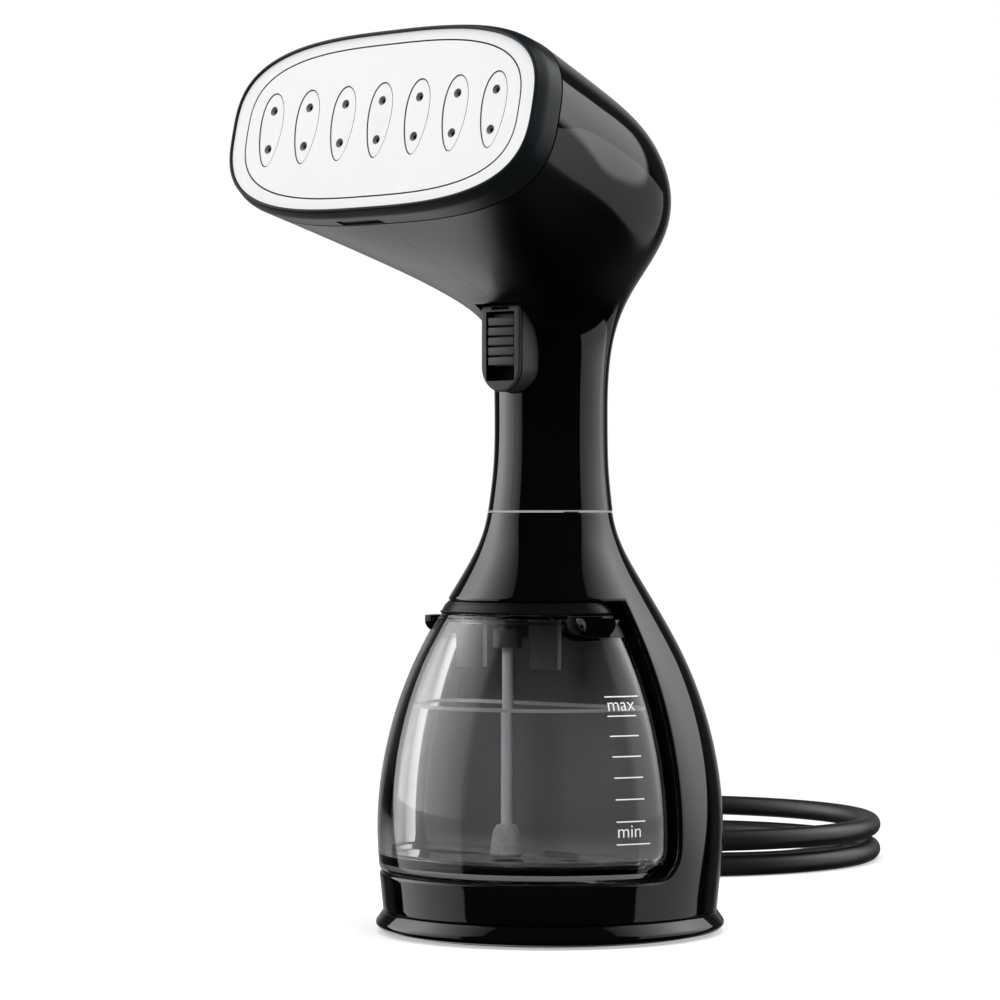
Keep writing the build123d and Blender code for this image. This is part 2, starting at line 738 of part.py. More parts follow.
# Ribbed slider that rides in the pocket of the trigger, with a stem through its floor.
slider_width = slot_width - 0.7
with BuildPart() as slide_switch:
    with BuildSketch(Plane.XZ.offset(-trigger_face - slot_depth + 0.3)):
        with Locations((0, (slider_low + slider_high) / 2)):
            Rectangle(slider_width, slider_high - slider_low)
    extrude(amount=1.9)
    with BuildSketch(Plane.XZ.offset(-trigger_face - slot_depth + 2.2)):
        with Locations((0, slider_low + rib_pitch * slider_ribs / 2)):
            with GridLocations(0, rib_pitch, 1, slider_ribs):
                Rectangle(slider_width, rib_height)
    extrude(amount=slot_depth - 2.2 - rib_recess)
    with BuildSketch(Plane.XZ.offset(-trigger_face - slot_depth + 0.3)):
        with Locations((0, (slot_low + slot_high) / 2 + 3.2)):
            Rectangle(4.0, 4.0)
    extrude(amount=-5.6)
write(slide_switch.part, "slide_switch")

# Plate across the neck that carries the switch and the return spring.
bracket_front = -1.0
with BuildPart() as switch_bracket:
    with Locations((0, bracket_front + 0.8, 189)):
        Box(28, 1.6, 32)
write(switch_bracket.part, "switch_bracket")

switch_front = trigger_back + trigger_travel + 1.0
with BuildPart() as microswitch:
    with Locations((0, (switch_front + bracket_front - 0.05) / 2, 197)):
        Box(6.4, bracket_front - 0.05 - switch_front, 16)
write(microswitch.part, "microswitch")

spring_room = bracket_front - trigger_back - 1.2
write(coil_spring((0, trigger_back + 0.6, 181), (0, 1, 0), 3.0, 0.4, spring_room, 5), "trigger_spring")

# Pump in the spine, its rubber mount and the hoses to and from it.
pump_y = 28.0
pump_low = 40.0
pump_high = 72.0
with BuildPart() as pump:
    with Locations((0, pump_y, pump_low)):
        Cylinder(11.5, pump_high - pump_low, align=(Align.CENTER, Align.CENTER, Align.MIN))
    with Locations((0, pump_y, pump_low - 4)):
        Cylinder(2.4, pump_high - pump_low + 8, align=(Align.CENTER, Align.CENTER, Align.MIN))
write(pump.part, "pump")

with BuildPart() as pump_mount:
    with BuildSketch(Plane.XY.offset(52)):
        with Locations((0, pump_y)):
            Circle(14.4)
        with Locations((0, (liner + 1.1 + pump_y) / 2)):
            Rectangle(10, pump_y - liner - 1.1)
        with Locations((0, pump_y)):
            Circle(11.7, mode=Mode.SUBTRACT)
    extrude(amount=8)
write(pump_mount.part, "pump_mount")

hose_radius = 2.5
inlet_route = [(0, 15.3, nozzle_z), (0, pump_y, nozzle_z), (0, pump_y, pump_high + 4.1)]
write(round_tube(inlet_route, hose_radius, "inlet_hose"), "inlet_hose")

entry = face_plane(heater_back + 0.1).origin
approach = face_plane(heater_back + 22).origin
outlet_route = [(0, pump_y, pump_low - 4.1), (0, pump_y, 24), (20, pump_y, 24), (20, pump_y, 60),
                (16, 20, 100), (4, 6, 128), (4, 4.4, 160), (5, 5.4, 190), (7, 5, 212), (14, -8, 236),
                (30, approach.Y, approach.Z), (30, entry.Y, entry.Z)]
write(round_tube(outlet_route, hose_radius, "outlet_hose"), "outlet_hose")

# Circuit board on the left of the pump with the mains terminals on it.
with BuildPart() as control_board:
    with Locations((-22, 24, 50)):
        Box(1.6, 32, 40)
write(control_board.part, "control_board")

with BuildPart() as terminal_block:
    with Locations((-17.1, 25, 37)):
        Box(8, 14, 9)
    with BuildSketch(Plane.XY.offset(41.5)):
        with Locations((-17.1, 21.5), (-17.1, 28.5)):
            Circle(2.0)
    extrude(amount=-5, mode=Mode.SUBTRACT)
write(terminal_block.part, "terminal_block")

# Cord boot through the rear of the body, with a clamp behind it.
boot_rings = 4
boot_start = 58.6
with BuildPart() as cord_boot:
    with BuildSketch(Plane.XZ.offset(-42)):
        with Locations((0, cord_height)):
            Circle(cord_radius)
    extrude(amount=-10)
    with BuildSketch(Plane.XZ.offset(-50.4)):
        with Locations((0, cord_height)):
            Circle(8.0)
    extrude(amount=-2.0)
    with BuildSketch(Plane.XZ.offset(-50.4)):
        with Locations((0, cord_height)):
            Circle(6.0)
    extrude(amount=-7)
    with BuildSketch(Plane.XZ.offset(-56.8)):
        with Locations((0, cord_height)):
            Circle(8.4)
    extrude(amount=-(boot_start - 56.8))
    with BuildSketch(Plane.XZ.offset(-boot_start)):
        with Locations((0, cord_height)):
            Circle(6.8)
    with BuildSketch(Plane.XZ.offset(-boot_tip)):
        with Locations((0, cord_height)):
            Circle(5.2)
    loft()
    for ring in range(boot_rings):
        with BuildSketch(Plane.XZ.offset(-(boot_start + 1.6 + 2.9 * ring))):
            with Locations((0, cord_height)):
                Circle(9.0)
                Circle(4.9, mode=Mode.SUBTRACT)
        extrude(amount=-1.1, mode=Mode.SUBTRACT)
write(cord_boot.part, "cord_boot")

with BuildPart() as cord_clamp:
    with BuildSketch(Plane.XZ.offset(-43)):
        with Locations((0, cord_height - 4)):
            Rectangle(18, 18)
        with Locations((0, cord_height)):
            Circle(cord_radius + 0.1, mode=Mode.SUBTRACT)
    extrude(amount=-6)
write(cord_clamp.part, "cord_clamp")

# Supply cord: the free lead, the coil on the floor and the tail to the plug.
write(round_tube(lead_points, cord_radius, "cord_lead"), "cord_lead")
write(round_tube(tail_points, cord_radius, "cord_tail"), "cord_tail")


def coil_slope(values, place):
    """Change per quarter turn at one point of the coil, level at both ends."""
    if place == 0 or place == len(values) - 1:
        return 0.0
    return (values[place + 1] - values[place - 1]) / 2


def coil_point(place):
    """Place and direction of the cord at one quarter of the coil."""
    angle = radians(coil_turn_start - 90 * place)
    outward = Vector(cos(angle), sin(angle), 0)
    onward = Vector(sin(angle), -cos(angle), 0)
    radius = coil_radii[place]
    centre = Vector(coil_centre[0], coil_centre[1], coil_heights[place])
    heading = onward * (radius * pi / 2) + outward * coil_slope(coil_radii, place)
    heading = heading + Vector(0, 0, coil_slope(coil_heights, place))
    return centre + outward * radius, heading.normalized()


def biarc_joint(start, start_heading, end, end_heading):
    """Point where two tangent arcs of one quarter turn meet."""
    chord = end - start
    both = start_heading + end_heading
    spread = 2 * (1 - start_heading.dot(end_heading))
    reach = (sqrt(chord.dot(both) ** 2 + spread * chord.dot(chord)) - chord.dot(both)) / spread
    return (start + end + (start_heading - end_heading) * reach) / 2


with BuildPart() as cord_coil:
    with BuildLine() as coil_route:
        for place in range(len(coil_radii) - 1):
            start, start_heading = coil_point(place)
            end, end_heading = coil_point(place + 1)
            joint = biarc_joint(start, start_heading, end, end_heading)
            first = TangentArc(start, joint, tangent=start_heading)
            TangentArc(joint, end, tangent=first % 1)
    coil_path = coil_route.wires()[0]
    with BuildSketch(Plane(origin=coil_path @ 0, z_dir=coil_path % 0)):
        Circle(cord_radius)
    sweep(path=coil_path)
write(cord_coil.part, "cord_coil")

samples = 900
spacing = coil_path.length / samples
coil_spots = [coil_path @ (step / samples) for step in range(samples + 1)]
least = min((coil_spots[a] - coil_spots[b]).length
            for a in range(0, samples + 1)
            for b in range(a + int(100 / spacing), samples + 1))
ratio = cord_coil.part.volume / (pi * cord_radius ** 2 * coil_path.length)
print("coil length", round(coil_path.length, 1), "volume ratio", round(ratio, 3),
      "least gap", round(least - 2 * cord_radius, 2))

# Two-blade plug at the end of the tail, lying inside the coil.
plug_way = (Vector(*tail_points[-1]) - Vector(*tail_points[-2])).normalized()


def plug_plane(distance):
    """Plane across the plug, distance along it from the end of the cord."""
    place = Vector(*tail_points[-1]) + plug_way * distance
    return Plane(origin=place, x_dir=plug_way.cross(Vector(0, 0, 1)), z_dir=plug_way)


with BuildPart() as plug_body:
    with BuildSketch(plug_plane(0)):
        Circle(5.0)
    with BuildSketch(plug_plane(14)):
        Circle(6.2)
    loft()
    with BuildSketch(plug_plane(14)):
        RectangleRounded(18, 14, 4)
    with BuildSketch(plug_plane(22)):
        RectangleRounded(24, 16, 4)
    with BuildSketch(plug_plane(40)):
        RectangleRounded(24, 16, 4)
    loft(ruled=True)
write(plug_body.part, "plug_body")

with BuildPart() as plug_blades:
    with BuildSketch(plug_plane(40)):
        with Locations((-6.35, 0), (6.35, 0)):
            Rectangle(1.5, 6.35)
    extrude(amount=16)
write(plug_blades.part, "plug_blades")
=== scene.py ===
# %% [markdown]
# # A hand-held garment steamer
# The steamer stands on a round base. A gloss black bell body carries a smoked water tank in front, a slim
# neck with a trigger, and a wide head with a white steam plate. The engineering model is loaded first and
# stays fixed. Each piece below is drawn in millimetres in that same frame and takes the place of its plainer
# solid.

# %% Load the fixed frame
import json
import math

import bmesh
import bpy
import numpy as np
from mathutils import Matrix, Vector


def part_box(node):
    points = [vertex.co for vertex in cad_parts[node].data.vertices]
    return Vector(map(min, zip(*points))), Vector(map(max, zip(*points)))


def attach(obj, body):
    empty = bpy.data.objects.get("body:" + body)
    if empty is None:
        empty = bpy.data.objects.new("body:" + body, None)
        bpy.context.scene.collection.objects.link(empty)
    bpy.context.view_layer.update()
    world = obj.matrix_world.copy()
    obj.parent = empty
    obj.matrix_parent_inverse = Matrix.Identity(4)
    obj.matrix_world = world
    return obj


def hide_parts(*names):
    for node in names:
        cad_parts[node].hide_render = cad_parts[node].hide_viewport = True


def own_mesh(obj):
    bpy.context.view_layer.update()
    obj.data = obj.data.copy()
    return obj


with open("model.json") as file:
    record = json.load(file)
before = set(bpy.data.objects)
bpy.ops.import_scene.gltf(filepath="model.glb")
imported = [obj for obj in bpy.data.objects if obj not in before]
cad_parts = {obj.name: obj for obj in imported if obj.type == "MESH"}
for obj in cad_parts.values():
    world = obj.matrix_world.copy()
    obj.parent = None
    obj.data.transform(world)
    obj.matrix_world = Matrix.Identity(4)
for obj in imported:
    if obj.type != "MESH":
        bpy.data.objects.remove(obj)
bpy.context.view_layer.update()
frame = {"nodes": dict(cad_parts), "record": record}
mm = 0.001
print("frame loaded with", len(frame["nodes"]), "nodes")


def add_object(name, data):
    """New object in the scene, at the origin."""
    obj = bpy.data.objects.new(name, data)
    bpy.context.scene.collection.objects.link(obj)
    return obj


# %% [markdown]
# ## Camera
# The picture is taken at the height of the collar, from the right of the steam plate, with a long lens. The
# camera could be turned to frame the steamer, but then its upright edges would lean. A small lens shift sets
# it right of the middle instead, because its head reaches out to the left.

# %% Camera
view_azimuth = math.radians(40)
camera_distance = 1180 * mm
camera_height = 137 * mm
to_camera = Vector((math.sin(view_azimuth), -math.cos(view_azimuth), 0))
to_right = Vector((math.cos(view_azimuth), math.sin(view_azimuth), 0))

camera = add_object("camera", bpy.data.cameras.new("camera"))
camera.data.lens = 129.6
camera.data.sensor_width = 36
camera.data.shift_x = -0.05
camera.data.shift_y = 0.012
camera.location = to_camera * camera_distance + Vector((0, 0, camera_height))
camera.rotation_euler = (math.radians(90), 0, view_azimuth)
bpy.context.scene.camera = camera
bpy.context.scene.view_settings.view_transform = "Standard"
print("camera at", [round(v, 3) for v in camera.location])

# %% [markdown]
# ## Node helpers for finishes
# Every finish is a small node tree on the Principled shader. One plain value for each input would do for a
# sketch, but no real moulding is that even. So noise in Object coordinates varies the colour and the
# roughness a little and gives the surface a fine relief.

# %% Helpers for node trees
def node_step(tree, kind, *values, operation=None, **named):
    """New node with its inputs set or linked, in their order or by name, with _ for a space."""
    node = tree.nodes.new(kind)
    if operation:
        node.operation = operation
    pairs = list(zip(node.inputs, values))
    pairs += [(node.inputs[word.replace("_", " ")], value) for word, value in named.items()]
    for socket, value in pairs:
        if isinstance(value, bpy.types.NodeSocket):
            tree.links.new(value, socket)
        else:
            socket.default_value = value
    return node


def node_math(tree, operation, first, second=0.0):
    """One step of arithmetic."""
    return node_step(tree, "ShaderNodeMath", first, second, operation=operation).outputs[0]


def node_range(tree, value, start, end, low=0.0, high=1.0):
    """Straight map of a value from one range to another."""
    return node_step(tree, "ShaderNodeMapRange", value, start, end, low, high).outputs["Result"]


def node_tree(name):
    """New material with its tree, its Principled shader and an object coordinate."""
    material = bpy.data.materials.new(name)
    material.use_nodes = True
    tree = material.node_tree
    tree.nodes.clear()
    output = tree.nodes.new("ShaderNodeOutputMaterial")
    shader = tree.nodes.new("ShaderNodeBsdfPrincipled")
    tree.links.new(shader.outputs["BSDF"], output.inputs["Surface"])
    place = tree.nodes.new("ShaderNodeTexCoord")
    return material, tree, shader, place.outputs["Object"]


# %% Helpers for finishes
finishes = {}
noise_low = 0.3
noise_high = 0.7
grain_strength = 0.35


def noise(tree, place, scale, detail=3.0):
    """Noise texture of a given number of features per metre."""
    return node_step(tree, "ShaderNodeTexNoise", Vector=place, Scale=scale, Detail=detail).outputs["Fac"]


def spread(tree, value, low, high):
    """Map a noise value, which lies mostly between its low and its high mark, to a range."""
    return node_range(tree, value, noise_low, noise_high, low, high)


def colour_between(tree, value, dark, light, start=noise_low, end=noise_high):
    """Colour ramp from dark to light over a value."""
    ramp = node_step(tree, "ShaderNodeValToRGB", value)
    for element, position, colour in zip(ramp.color_ramp.elements, (start, end), (dark, light)):
        element.position = position
        element.color = (*colour, 1)
    return ramp.outputs["Color"]


def surface(name, dark, light, rough, grain, depth, metallic=0.0, specular=0.5, patch=22.0):
    """Moulded or metal finish: patchy colour and roughness, and a fine grain of its own size and depth."""
    material, tree, shader, place = node_tree(name)
    cloud = noise(tree, place, patch)
    tree.links.new(colour_between(tree, cloud, dark, light), shader.inputs["Base Color"])
    tree.links.new(spread(tree, cloud, *rough), shader.inputs["Roughness"])
    fine = noise(tree, place, grain, 2.0)
    bump = node_step(tree, "ShaderNodeBump", Strength=grain_strength, Distance=depth, Height=fine)
    tree.links.new(bump.outputs["Normal"], shader.inputs["Normal"])
    shader.inputs["Metallic"].default_value = metallic
    shader.inputs["Specular IOR Level"].default_value = specular
    finishes[name] = material


# %% [markdown]
# ## Finishes
# The body is a high-gloss black moulding, the bezel a satin one with a blue cast, the trigger a matt one.
# The underside of the head is satin too. It could be given to single faces, but a roughness that rises as
# the surface turns down has no visible edge. The tank is a lightly smoked clear plastic. A grey tint alone
# would ignore the thickness of the wall, so the smoke is an absorption inside it.

# %% Clear finishes
# Facing values where the painted shade of slanted walls begins and where it is full.
edge_starts = 0.52
edge_full = 0.58


def clear_finish(name, tint, ior, rough, smoke=0.0, painted_edge_shade=None):
    """Clear plastic or water; smoke is the absorption per metre, and a painted edge shade darkens slanted
    walls.
    """
    material, tree, shader, place = node_tree(name)
    shader.inputs["Base Color"].default_value = (*tint, 1)
    shader.inputs["Transmission Weight"].default_value = 1.0
    shader.inputs["IOR"].default_value = ior
    tree.links.new(spread(tree, noise(tree, place, 30.0), *rough), shader.inputs["Roughness"])
    # Painted shade: the base colour turns dark where the wall is seen slantwise.
    if painted_edge_shade:
        glance = tree.nodes.new("ShaderNodeLayerWeight").outputs["Facing"]
        painted_edge_colour = colour_between(tree, glance, tint, painted_edge_shade, edge_starts, edge_full)
        tree.links.new(painted_edge_colour, shader.inputs["Base Color"])
    if smoke:
        depth = node_step(tree, "ShaderNodeVolumeAbsorption", Color=(0, 0, 0, 1), Density=smoke)
        tree.links.new(depth.outputs["Volume"], tree.nodes["Material Output"].inputs["Volume"])
    finishes[name] = material


clear_finish("smoked_clear", (0.97, 0.97, 0.98), 1.49, (0.0, 0.02), 50.0, (0.27, 0.27, 0.275))
clear_finish("milky_clear", (0.62, 0.63, 0.64), 1.3, (0.45, 0.6))
print("clear finishes:", ", ".join(finishes))

# %% Moulded and metal finishes
gloss = ((0.0014, 0.0014, 0.0016), (0.0022, 0.0022, 0.0024), (0.02, 0.05), 900, 2e-6)
surface("gloss_black", *gloss)
surface("head_black", *gloss)
surface("satin_bezel", (0.0055, 0.0075, 0.0085), (0.008, 0.0105, 0.0118), (0.3, 0.38), 2600, 1.2e-5,
        specular=0.24)
surface("boss_grey", (0.028, 0.028, 0.029), (0.038, 0.038, 0.039), (0.42, 0.52), 3800, 2e-5)
surface("tank_dark", (0.006, 0.006, 0.0065), (0.01, 0.01, 0.011), (0.06, 0.12), 1200, 3e-6)
surface("trim_light", (0.3, 0.3, 0.31), (0.36, 0.36, 0.37), (0.25, 0.35), 2400, 5e-6)
surface("plate_white", (0.715, 0.715, 0.723), (0.745, 0.745, 0.753), (0.28, 0.36), 1500, 4e-6)
surface("soft_black", (0.009, 0.009, 0.0095), (0.015, 0.015, 0.016), (0.5, 0.62), 3200, 2.5e-5)
surface("cord_black", (0.007, 0.007, 0.0075), (0.012, 0.012, 0.0125), (0.34, 0.46), 2200, 1.5e-5)
surface("silicone", (0.5, 0.5, 0.49), (0.58, 0.58, 0.57), (0.35, 0.45), 1800, 8e-6)
surface("cast_alloy", (0.42, 0.42, 0.43), (0.52, 0.52, 0.53), (0.45, 0.6), 1500, 3e-5, 1.0)
surface("steel", (0.45, 0.45, 0.46), (0.55, 0.55, 0.56), (0.25, 0.38), 2500, 6e-6, 1.0)
surface("plated", (0.62, 0.52, 0.28), (0.72, 0.6, 0.34), (0.2, 0.3), 2500, 4e-6, 1.0)
surface("inner_white", (0.5, 0.5, 0.49), (0.57, 0.57, 0.56), (0.4, 0.5), 2600, 8e-6)
surface("inner_black", (0.035, 0.035, 0.036), (0.045, 0.045, 0.046), (0.4, 0.5), 2600, 1e-5)
surface("board_green", (0.02, 0.13, 0.05), (0.03, 0.17, 0.07), (0.3, 0.4), 1800, 1e-5)
print("finishes made:", len(finishes))

# %% Satin underside of the head
underside_starts = -0.36
underside_full = -0.62
underside_rough = 0.27
head_tree = finishes["head_black"].node_tree
head_rough = head_tree.nodes["Principled BSDF"].inputs["Roughness"]
head_normal = head_tree.nodes["Texture Coordinate"].outputs["Normal"]
head_down = node_step(head_tree, "ShaderNodeSeparateXYZ", head_normal).outputs["Z"]
head_satin = node_range(head_tree, head_down, underside_starts, underside_full, 0.0, underside_rough)
head_sum = node_math(head_tree, "ADD", head_rough.links[0].from_socket, head_satin)
head_tree.links.new(head_sum, head_rough)
print("underside of the head up to", underside_rough, "rougher")

# %% Finishes of the solids
slot_of_node = {part["node"]: part["material_slot"] for part in frame["record"]["subparts"]}
for node, obj in frame["nodes"].items():
    obj.data.materials.clear()
    obj.data.materials.append(finishes[slot_of_node[node]])
print("solids painted:", len(slot_of_node))

# %% [markdown]
# ## Mesh helpers
# Most pieces are lofts: rings of points joined by quads. A profile turned round the upright axis is a lathe.
# Points that are worked out keep every measure, which shaping by hand would lose. Corners of an outline are
# rounded by short curves, because no moulded edge is knife sharp.

# %% Helpers for pieces
def piece(name, points, faces):
    """Mesh object from points in millimetres."""
    mesh = bpy.data.meshes.new(name)
    mesh.from_pydata([tuple(c * mm for c in p) for p in points], [], faces)
    mesh.update()
    return add_object(name, mesh)


def plain_mesh(obj):
    """Shape of an object with all its modifiers, as a new mesh."""
    graph = bpy.context.evaluated_depsgraph_get()
    return bpy.data.meshes.new_from_object(obj.evaluated_get(graph), depsgraph=graph)


def settle(obj):
    """Turn the modifiers of a piece into plain mesh."""
    mesh = plain_mesh(obj)
    obj.modifiers.clear()
    old = obj.data
    obj.data = mesh
    bpy.data.meshes.remove(old)


def rework(obj, change):
    """Change the mesh of a piece, face by face or edge by edge."""
    shape = bmesh.new()
    shape.from_mesh(obj.data)
    change(shape)
    shape.to_mesh(obj.data)
    shape.free()


def outward(obj):
    """Merge doubles and turn all faces of a closed piece outwards."""
    def change(shape):
        bmesh.ops.remove_doubles(shape, verts=shape.verts, dist=1e-6)
        bmesh.ops.recalc_face_normals(shape, faces=shape.faces)
    rework(obj, change)


def shift(obj, x, y, z):
    """Move the mesh of a piece."""
    for vertex in obj.data.vertices:
        vertex.co += Vector((x, y, z)) * mm


# %% Helpers for walls, edges and cuts
def thicken(obj, depth):
    """Give a skin a wall that grows inwards."""
    solid = obj.modifiers.new("wall", "SOLIDIFY")
    solid.thickness = depth * mm
    solid.offset = -1
    settle(obj)


def bevel(obj, width, segments=3, angle=40):
    """Round the edges that are sharper than an angle."""
    rounding = obj.modifiers.new("bevel", "BEVEL")
    rounding.width = width * mm
    rounding.segments = segments
    rounding.limit_method = "ANGLE"
    rounding.angle_limit = math.radians(angle)
    settle(obj)


def cut(obj, *cutters):
    """Take the cutters away from a piece and delete them."""
    for cutter in cutters:
        knife = obj.modifiers.new("cut", "BOOLEAN")
        knife.operation = "DIFFERENCE"
        knife.solver = "EXACT"
        knife.object = cutter
    settle(obj)
    for cutter in cutters:
        bpy.data.objects.remove(cutter)


# %% Helper that dresses a piece
def dress(obj, body, slot_name, *nodes, sharp=32, look=None):
    """Shade a piece, give it a finish and its body, and let it stand for its solids."""
    obj.data.materials.clear()
    obj.data.materials.append(finishes[look or slot_name])
    for face in obj.data.polygons:
        face.use_smooth = True
    obj.data.set_sharp_from_angle(angle=math.radians(sharp))
    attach(obj, body)
    if nodes:
        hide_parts(*nodes)
    print(obj.name, "has", len(obj.data.polygons), "faces")


# %% Helpers for shapes
def loft_faces(rows, columns, closed=True):
    """Quads between rings that follow each other."""
    faces = []
    for row in range(rows - 1):
        for column in range(columns if closed else columns - 1):
            onward = (column + 1) % columns
            faces.append((row * columns + column, row * columns + onward,
                          (row + 1) * columns + onward, (row + 1) * columns + column))
    return faces


def loft(name, rings, caps=True):
    """Closed tube through rings of equal point counts, with its two ends filled."""
    count = len(rings[0])
    faces = loft_faces(len(rings), count)
    if caps:
        faces.append(tuple(range(count)))
        faces.append(tuple(range((len(rings) - 1) * count, len(rings) * count)))
    obj = piece(name, [p for ring in rings for p in ring], faces)
    outward(obj)
    return obj


def rounded(points, radius, steps=4, closed=True):
    """Outline with each corner replaced by a short curve."""
    result = []
    count = len(points)
    for place, here in enumerate(points):
        if not closed and place in (0, count - 1):
            result.append(here)
            continue
        here = np.array(here, float)
        before = np.array(points[place - 1], float) - here
        after = np.array(points[(place + 1) % count], float) - here
        reach = min(radius, 0.45 * np.linalg.norm(before), 0.45 * np.linalg.norm(after))
        start = here + before / np.linalg.norm(before) * reach
        end = here + after / np.linalg.norm(after) * reach
        for step in range(steps + 1):
            t = step / steps
            result.append(tuple((1 - t) ** 2 * start + 2 * t * (1 - t) * here + t ** 2 * end))
    return result


# %% Helpers for turned and straight forms
def lathe(name, profile, steps=128, closed=False):
    """Profile of radius and height turned round the upright axis."""
    rings = []
    for radius, height in profile:
        turns = [2 * math.pi * step / steps for step in range(steps)]
        rings.append([(radius * math.sin(t), radius * math.cos(t), height) for t in turns])
    if closed:
        rings.append(rings[0])
    return loft(name, rings, caps=False)


def prism(name, outline, low, high, axis):
    """Outline in two coordinates, stretched along the third axis: 0 for X, 1 for Y, 2 for Z."""
    def lift(point, depth):
        point = list(point)
        point.insert(axis, depth)
        return tuple(point)
    return loft(name, [[lift(p, low) for p in outline], [lift(p, high) for p in outline]])


def box_outline(low, high):
    """Corners of a rectangle."""
    return [(low[0], low[1]), (high[0], low[1]), (high[0], high[1]), (low[0], high[1])]


# %% [markdown]
# ## Supply cord
# The cord leaves the boot at the back, runs along the floor and lies in two and a half turns behind the
# body. Its line is one smooth curve through the same route as the solid tube: listed points for the lead
# and the tail, and a loop of points for the coil, which shrinks and sinks from its upper turn to the one on
# the floor. A curve with a round bevel is used and not a mesh, because it keeps its thickness in every bend.

# %% Cord
cord_radius = 4.0
boot_tip = (0.0, 71.0, 22.0)
floor_layer = 4.1
lead_route = [boot_tip, (0.0, 80.0, 22.0), (-5.5, 92.5, 21.6), (-15.5, 102.8, 20.8), (-28.5, 110.0, 19.6),
              (-50.0, 120.5, 17.6), (-87.9, 134.3, 14.6), (-143.4, 126.5, 14.0), (-177.8, 141.9, 15.0)]
tail_route = [(-56.9, 242.05, floor_layer), (-52.07, 214.51, floor_layer), (-60.95, 190.09, floor_layer),
              (-80.87, 173.38, floor_layer), (-104.51, 169.21, 5.6), (-127.08, 177.42, 8.1),
              (-142.51, 195.81, 8.1)]
coil_centre = (-125.5, 221.1)
coil_radii = [91.0, 85.0, 82.0, 82.0, 82.0, 82.0, 82.0, 81.0, 74.0, 71.6, 66.0]
coil_heights = [15.0, 14.2, 13.7, 13.7, 11.2, 4.1, 4.1, 4.1, 4.1, 4.1, 4.1]
points_per_quarter = 5


def coil_route():
    """Points of the coil, a few to each quarter turn."""
    quarters = len(coil_radii) - 1
    for step in range(quarters * points_per_quarter + 1):
        place = step / points_per_quarter
        angle = math.radians(220 - 90 * place)
        radius = np.interp(place, range(quarters + 1), coil_radii)
        height = np.interp(place, range(quarters + 1), coil_heights)
        yield (coil_centre[0] + radius * math.cos(angle), coil_centre[1] + radius * math.sin(angle), height)


cord_route = lead_route + list(coil_route()) + tail_route
cord_curve = bpy.data.curves.new("supply_cord", "CURVE")
cord_curve.dimensions = "3D"
cord_curve.bevel_depth = cord_radius * mm
cord_curve.bevel_resolution = 8
cord_curve.use_fill_caps = True
cord_line = cord_curve.splines.new("NURBS")
cord_line.points.add(len(cord_route) - 1)
for point, place in zip(cord_line.points, cord_route):
    point.co = (*[c * mm for c in place], 1)
cord_line.order_u = 3
cord_line.use_endpoint_u = True
cord_line.resolution_u = 6
supply_cord = add_object("supply_cord", cord_curve)
cord_curve.materials.append(finishes["cord_black"])
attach(supply_cord, "main")
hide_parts("cord_lead", "cord_coil", "cord_tail")
print("cord has", len(cord_route), "route points")

# %% [markdown]
# ## Bell body
# The body is a bell: its radius is a smooth curve of height through a few measured points. The same curve
# shapes the housing, the tank and the lid, so that they meet flush. The front of the housing is open for the
# tank. A boolean could cut that opening, but its uneven faces would spoil the reflections. So the columns of
# the mesh end on the edge of the bay.

# %% Bell curve
def smooth_curve(places, values, start_slope=None, end_slope=None):
    """Cubic curve through values, with an even second derivative; free ends unless slopes are given."""
    places = np.array(places, float)
    values = np.array(values, float)
    gaps = np.diff(places)
    rises = np.diff(values) / gaps
    count = len(places)
    system = np.zeros((count, count))
    right = np.zeros(count)
    for place in range(1, count - 1):
        system[place, place - 1:place + 2] = gaps[place - 1], 2 * (gaps[place - 1] + gaps[place]), gaps[place]
        right[place] = 6 * (rises[place] - rises[place - 1])
    system[0, 0] = system[-1, -1] = 1
    if start_slope is not None:
        system[0, :2] = 2 * gaps[0], gaps[0]
        right[0] = 6 * (rises[0] - start_slope)
    if end_slope is not None:
        system[-1, -2:] = gaps[-1], 2 * gaps[-1]
        right[-1] = 6 * (end_slope - rises[-1])
    bends = np.linalg.solve(system, right)

    def value(at):
        part = int(np.clip(np.searchsorted(places, at) - 1, 0, count - 2))
        gap = gaps[part]
        left = (places[part + 1] - at) / gap
        onward = 1 - left
        curve = (left ** 3 - left) * bends[part] + (onward ** 3 - onward) * bends[part + 1]
        return left * values[part] + onward * values[part + 1] + curve * gap ** 2 / 6
    return value


body_bottom = 7.4
split_height = 137.0
bell_radius = smooth_curve([body_bottom, 31.0, 62.0, 91.5, 114.0, 128.5, split_height],
                           [54.6, 56.6, 53.4, 43.0, 30.2, 22.6, 20.4], 0.09, -0.16)
print("bell radius at mid height", round(bell_radius(70.0), 2))

# %% Bay and rings of the housing
wall = 2.4
bay_bottom = 20.0
bay_top = 108.4
bay_corner = 10.0
bay_front = -2.6
bay_round = 1.1
end_round = 0.4
spine_columns = 96
front_columns = 72
fan_depth = 7.0
fan_columns = 3
print("bay is", round(bay_top - bay_bottom, 1), "mm high")


def bay_edge(height):
    """Depth of the rear edge of the bay: straight, with a rounded lower corner."""
    drop = bay_bottom + bay_corner - height
    if drop <= 0 or height >= bay_top:
        return bay_front
    return bay_front + math.sqrt(max(bay_corner ** 2 - min(drop, bay_corner) ** 2, 0)) - bay_corner


def fan_drop(height):
    """How far a row sinks on the spine, so that the rows of the bay corner fan out evenly."""
    if height <= bay_bottom:
        return fan_depth * (height - body_bottom) / (bay_bottom - body_bottom)
    rise = min((height - bay_bottom) / bay_corner, 1.0)
    return (bay_corner + fan_depth) * (1 - math.acos(1 - rise) / (math.pi / 2)) - bay_corner * (1 - rise)


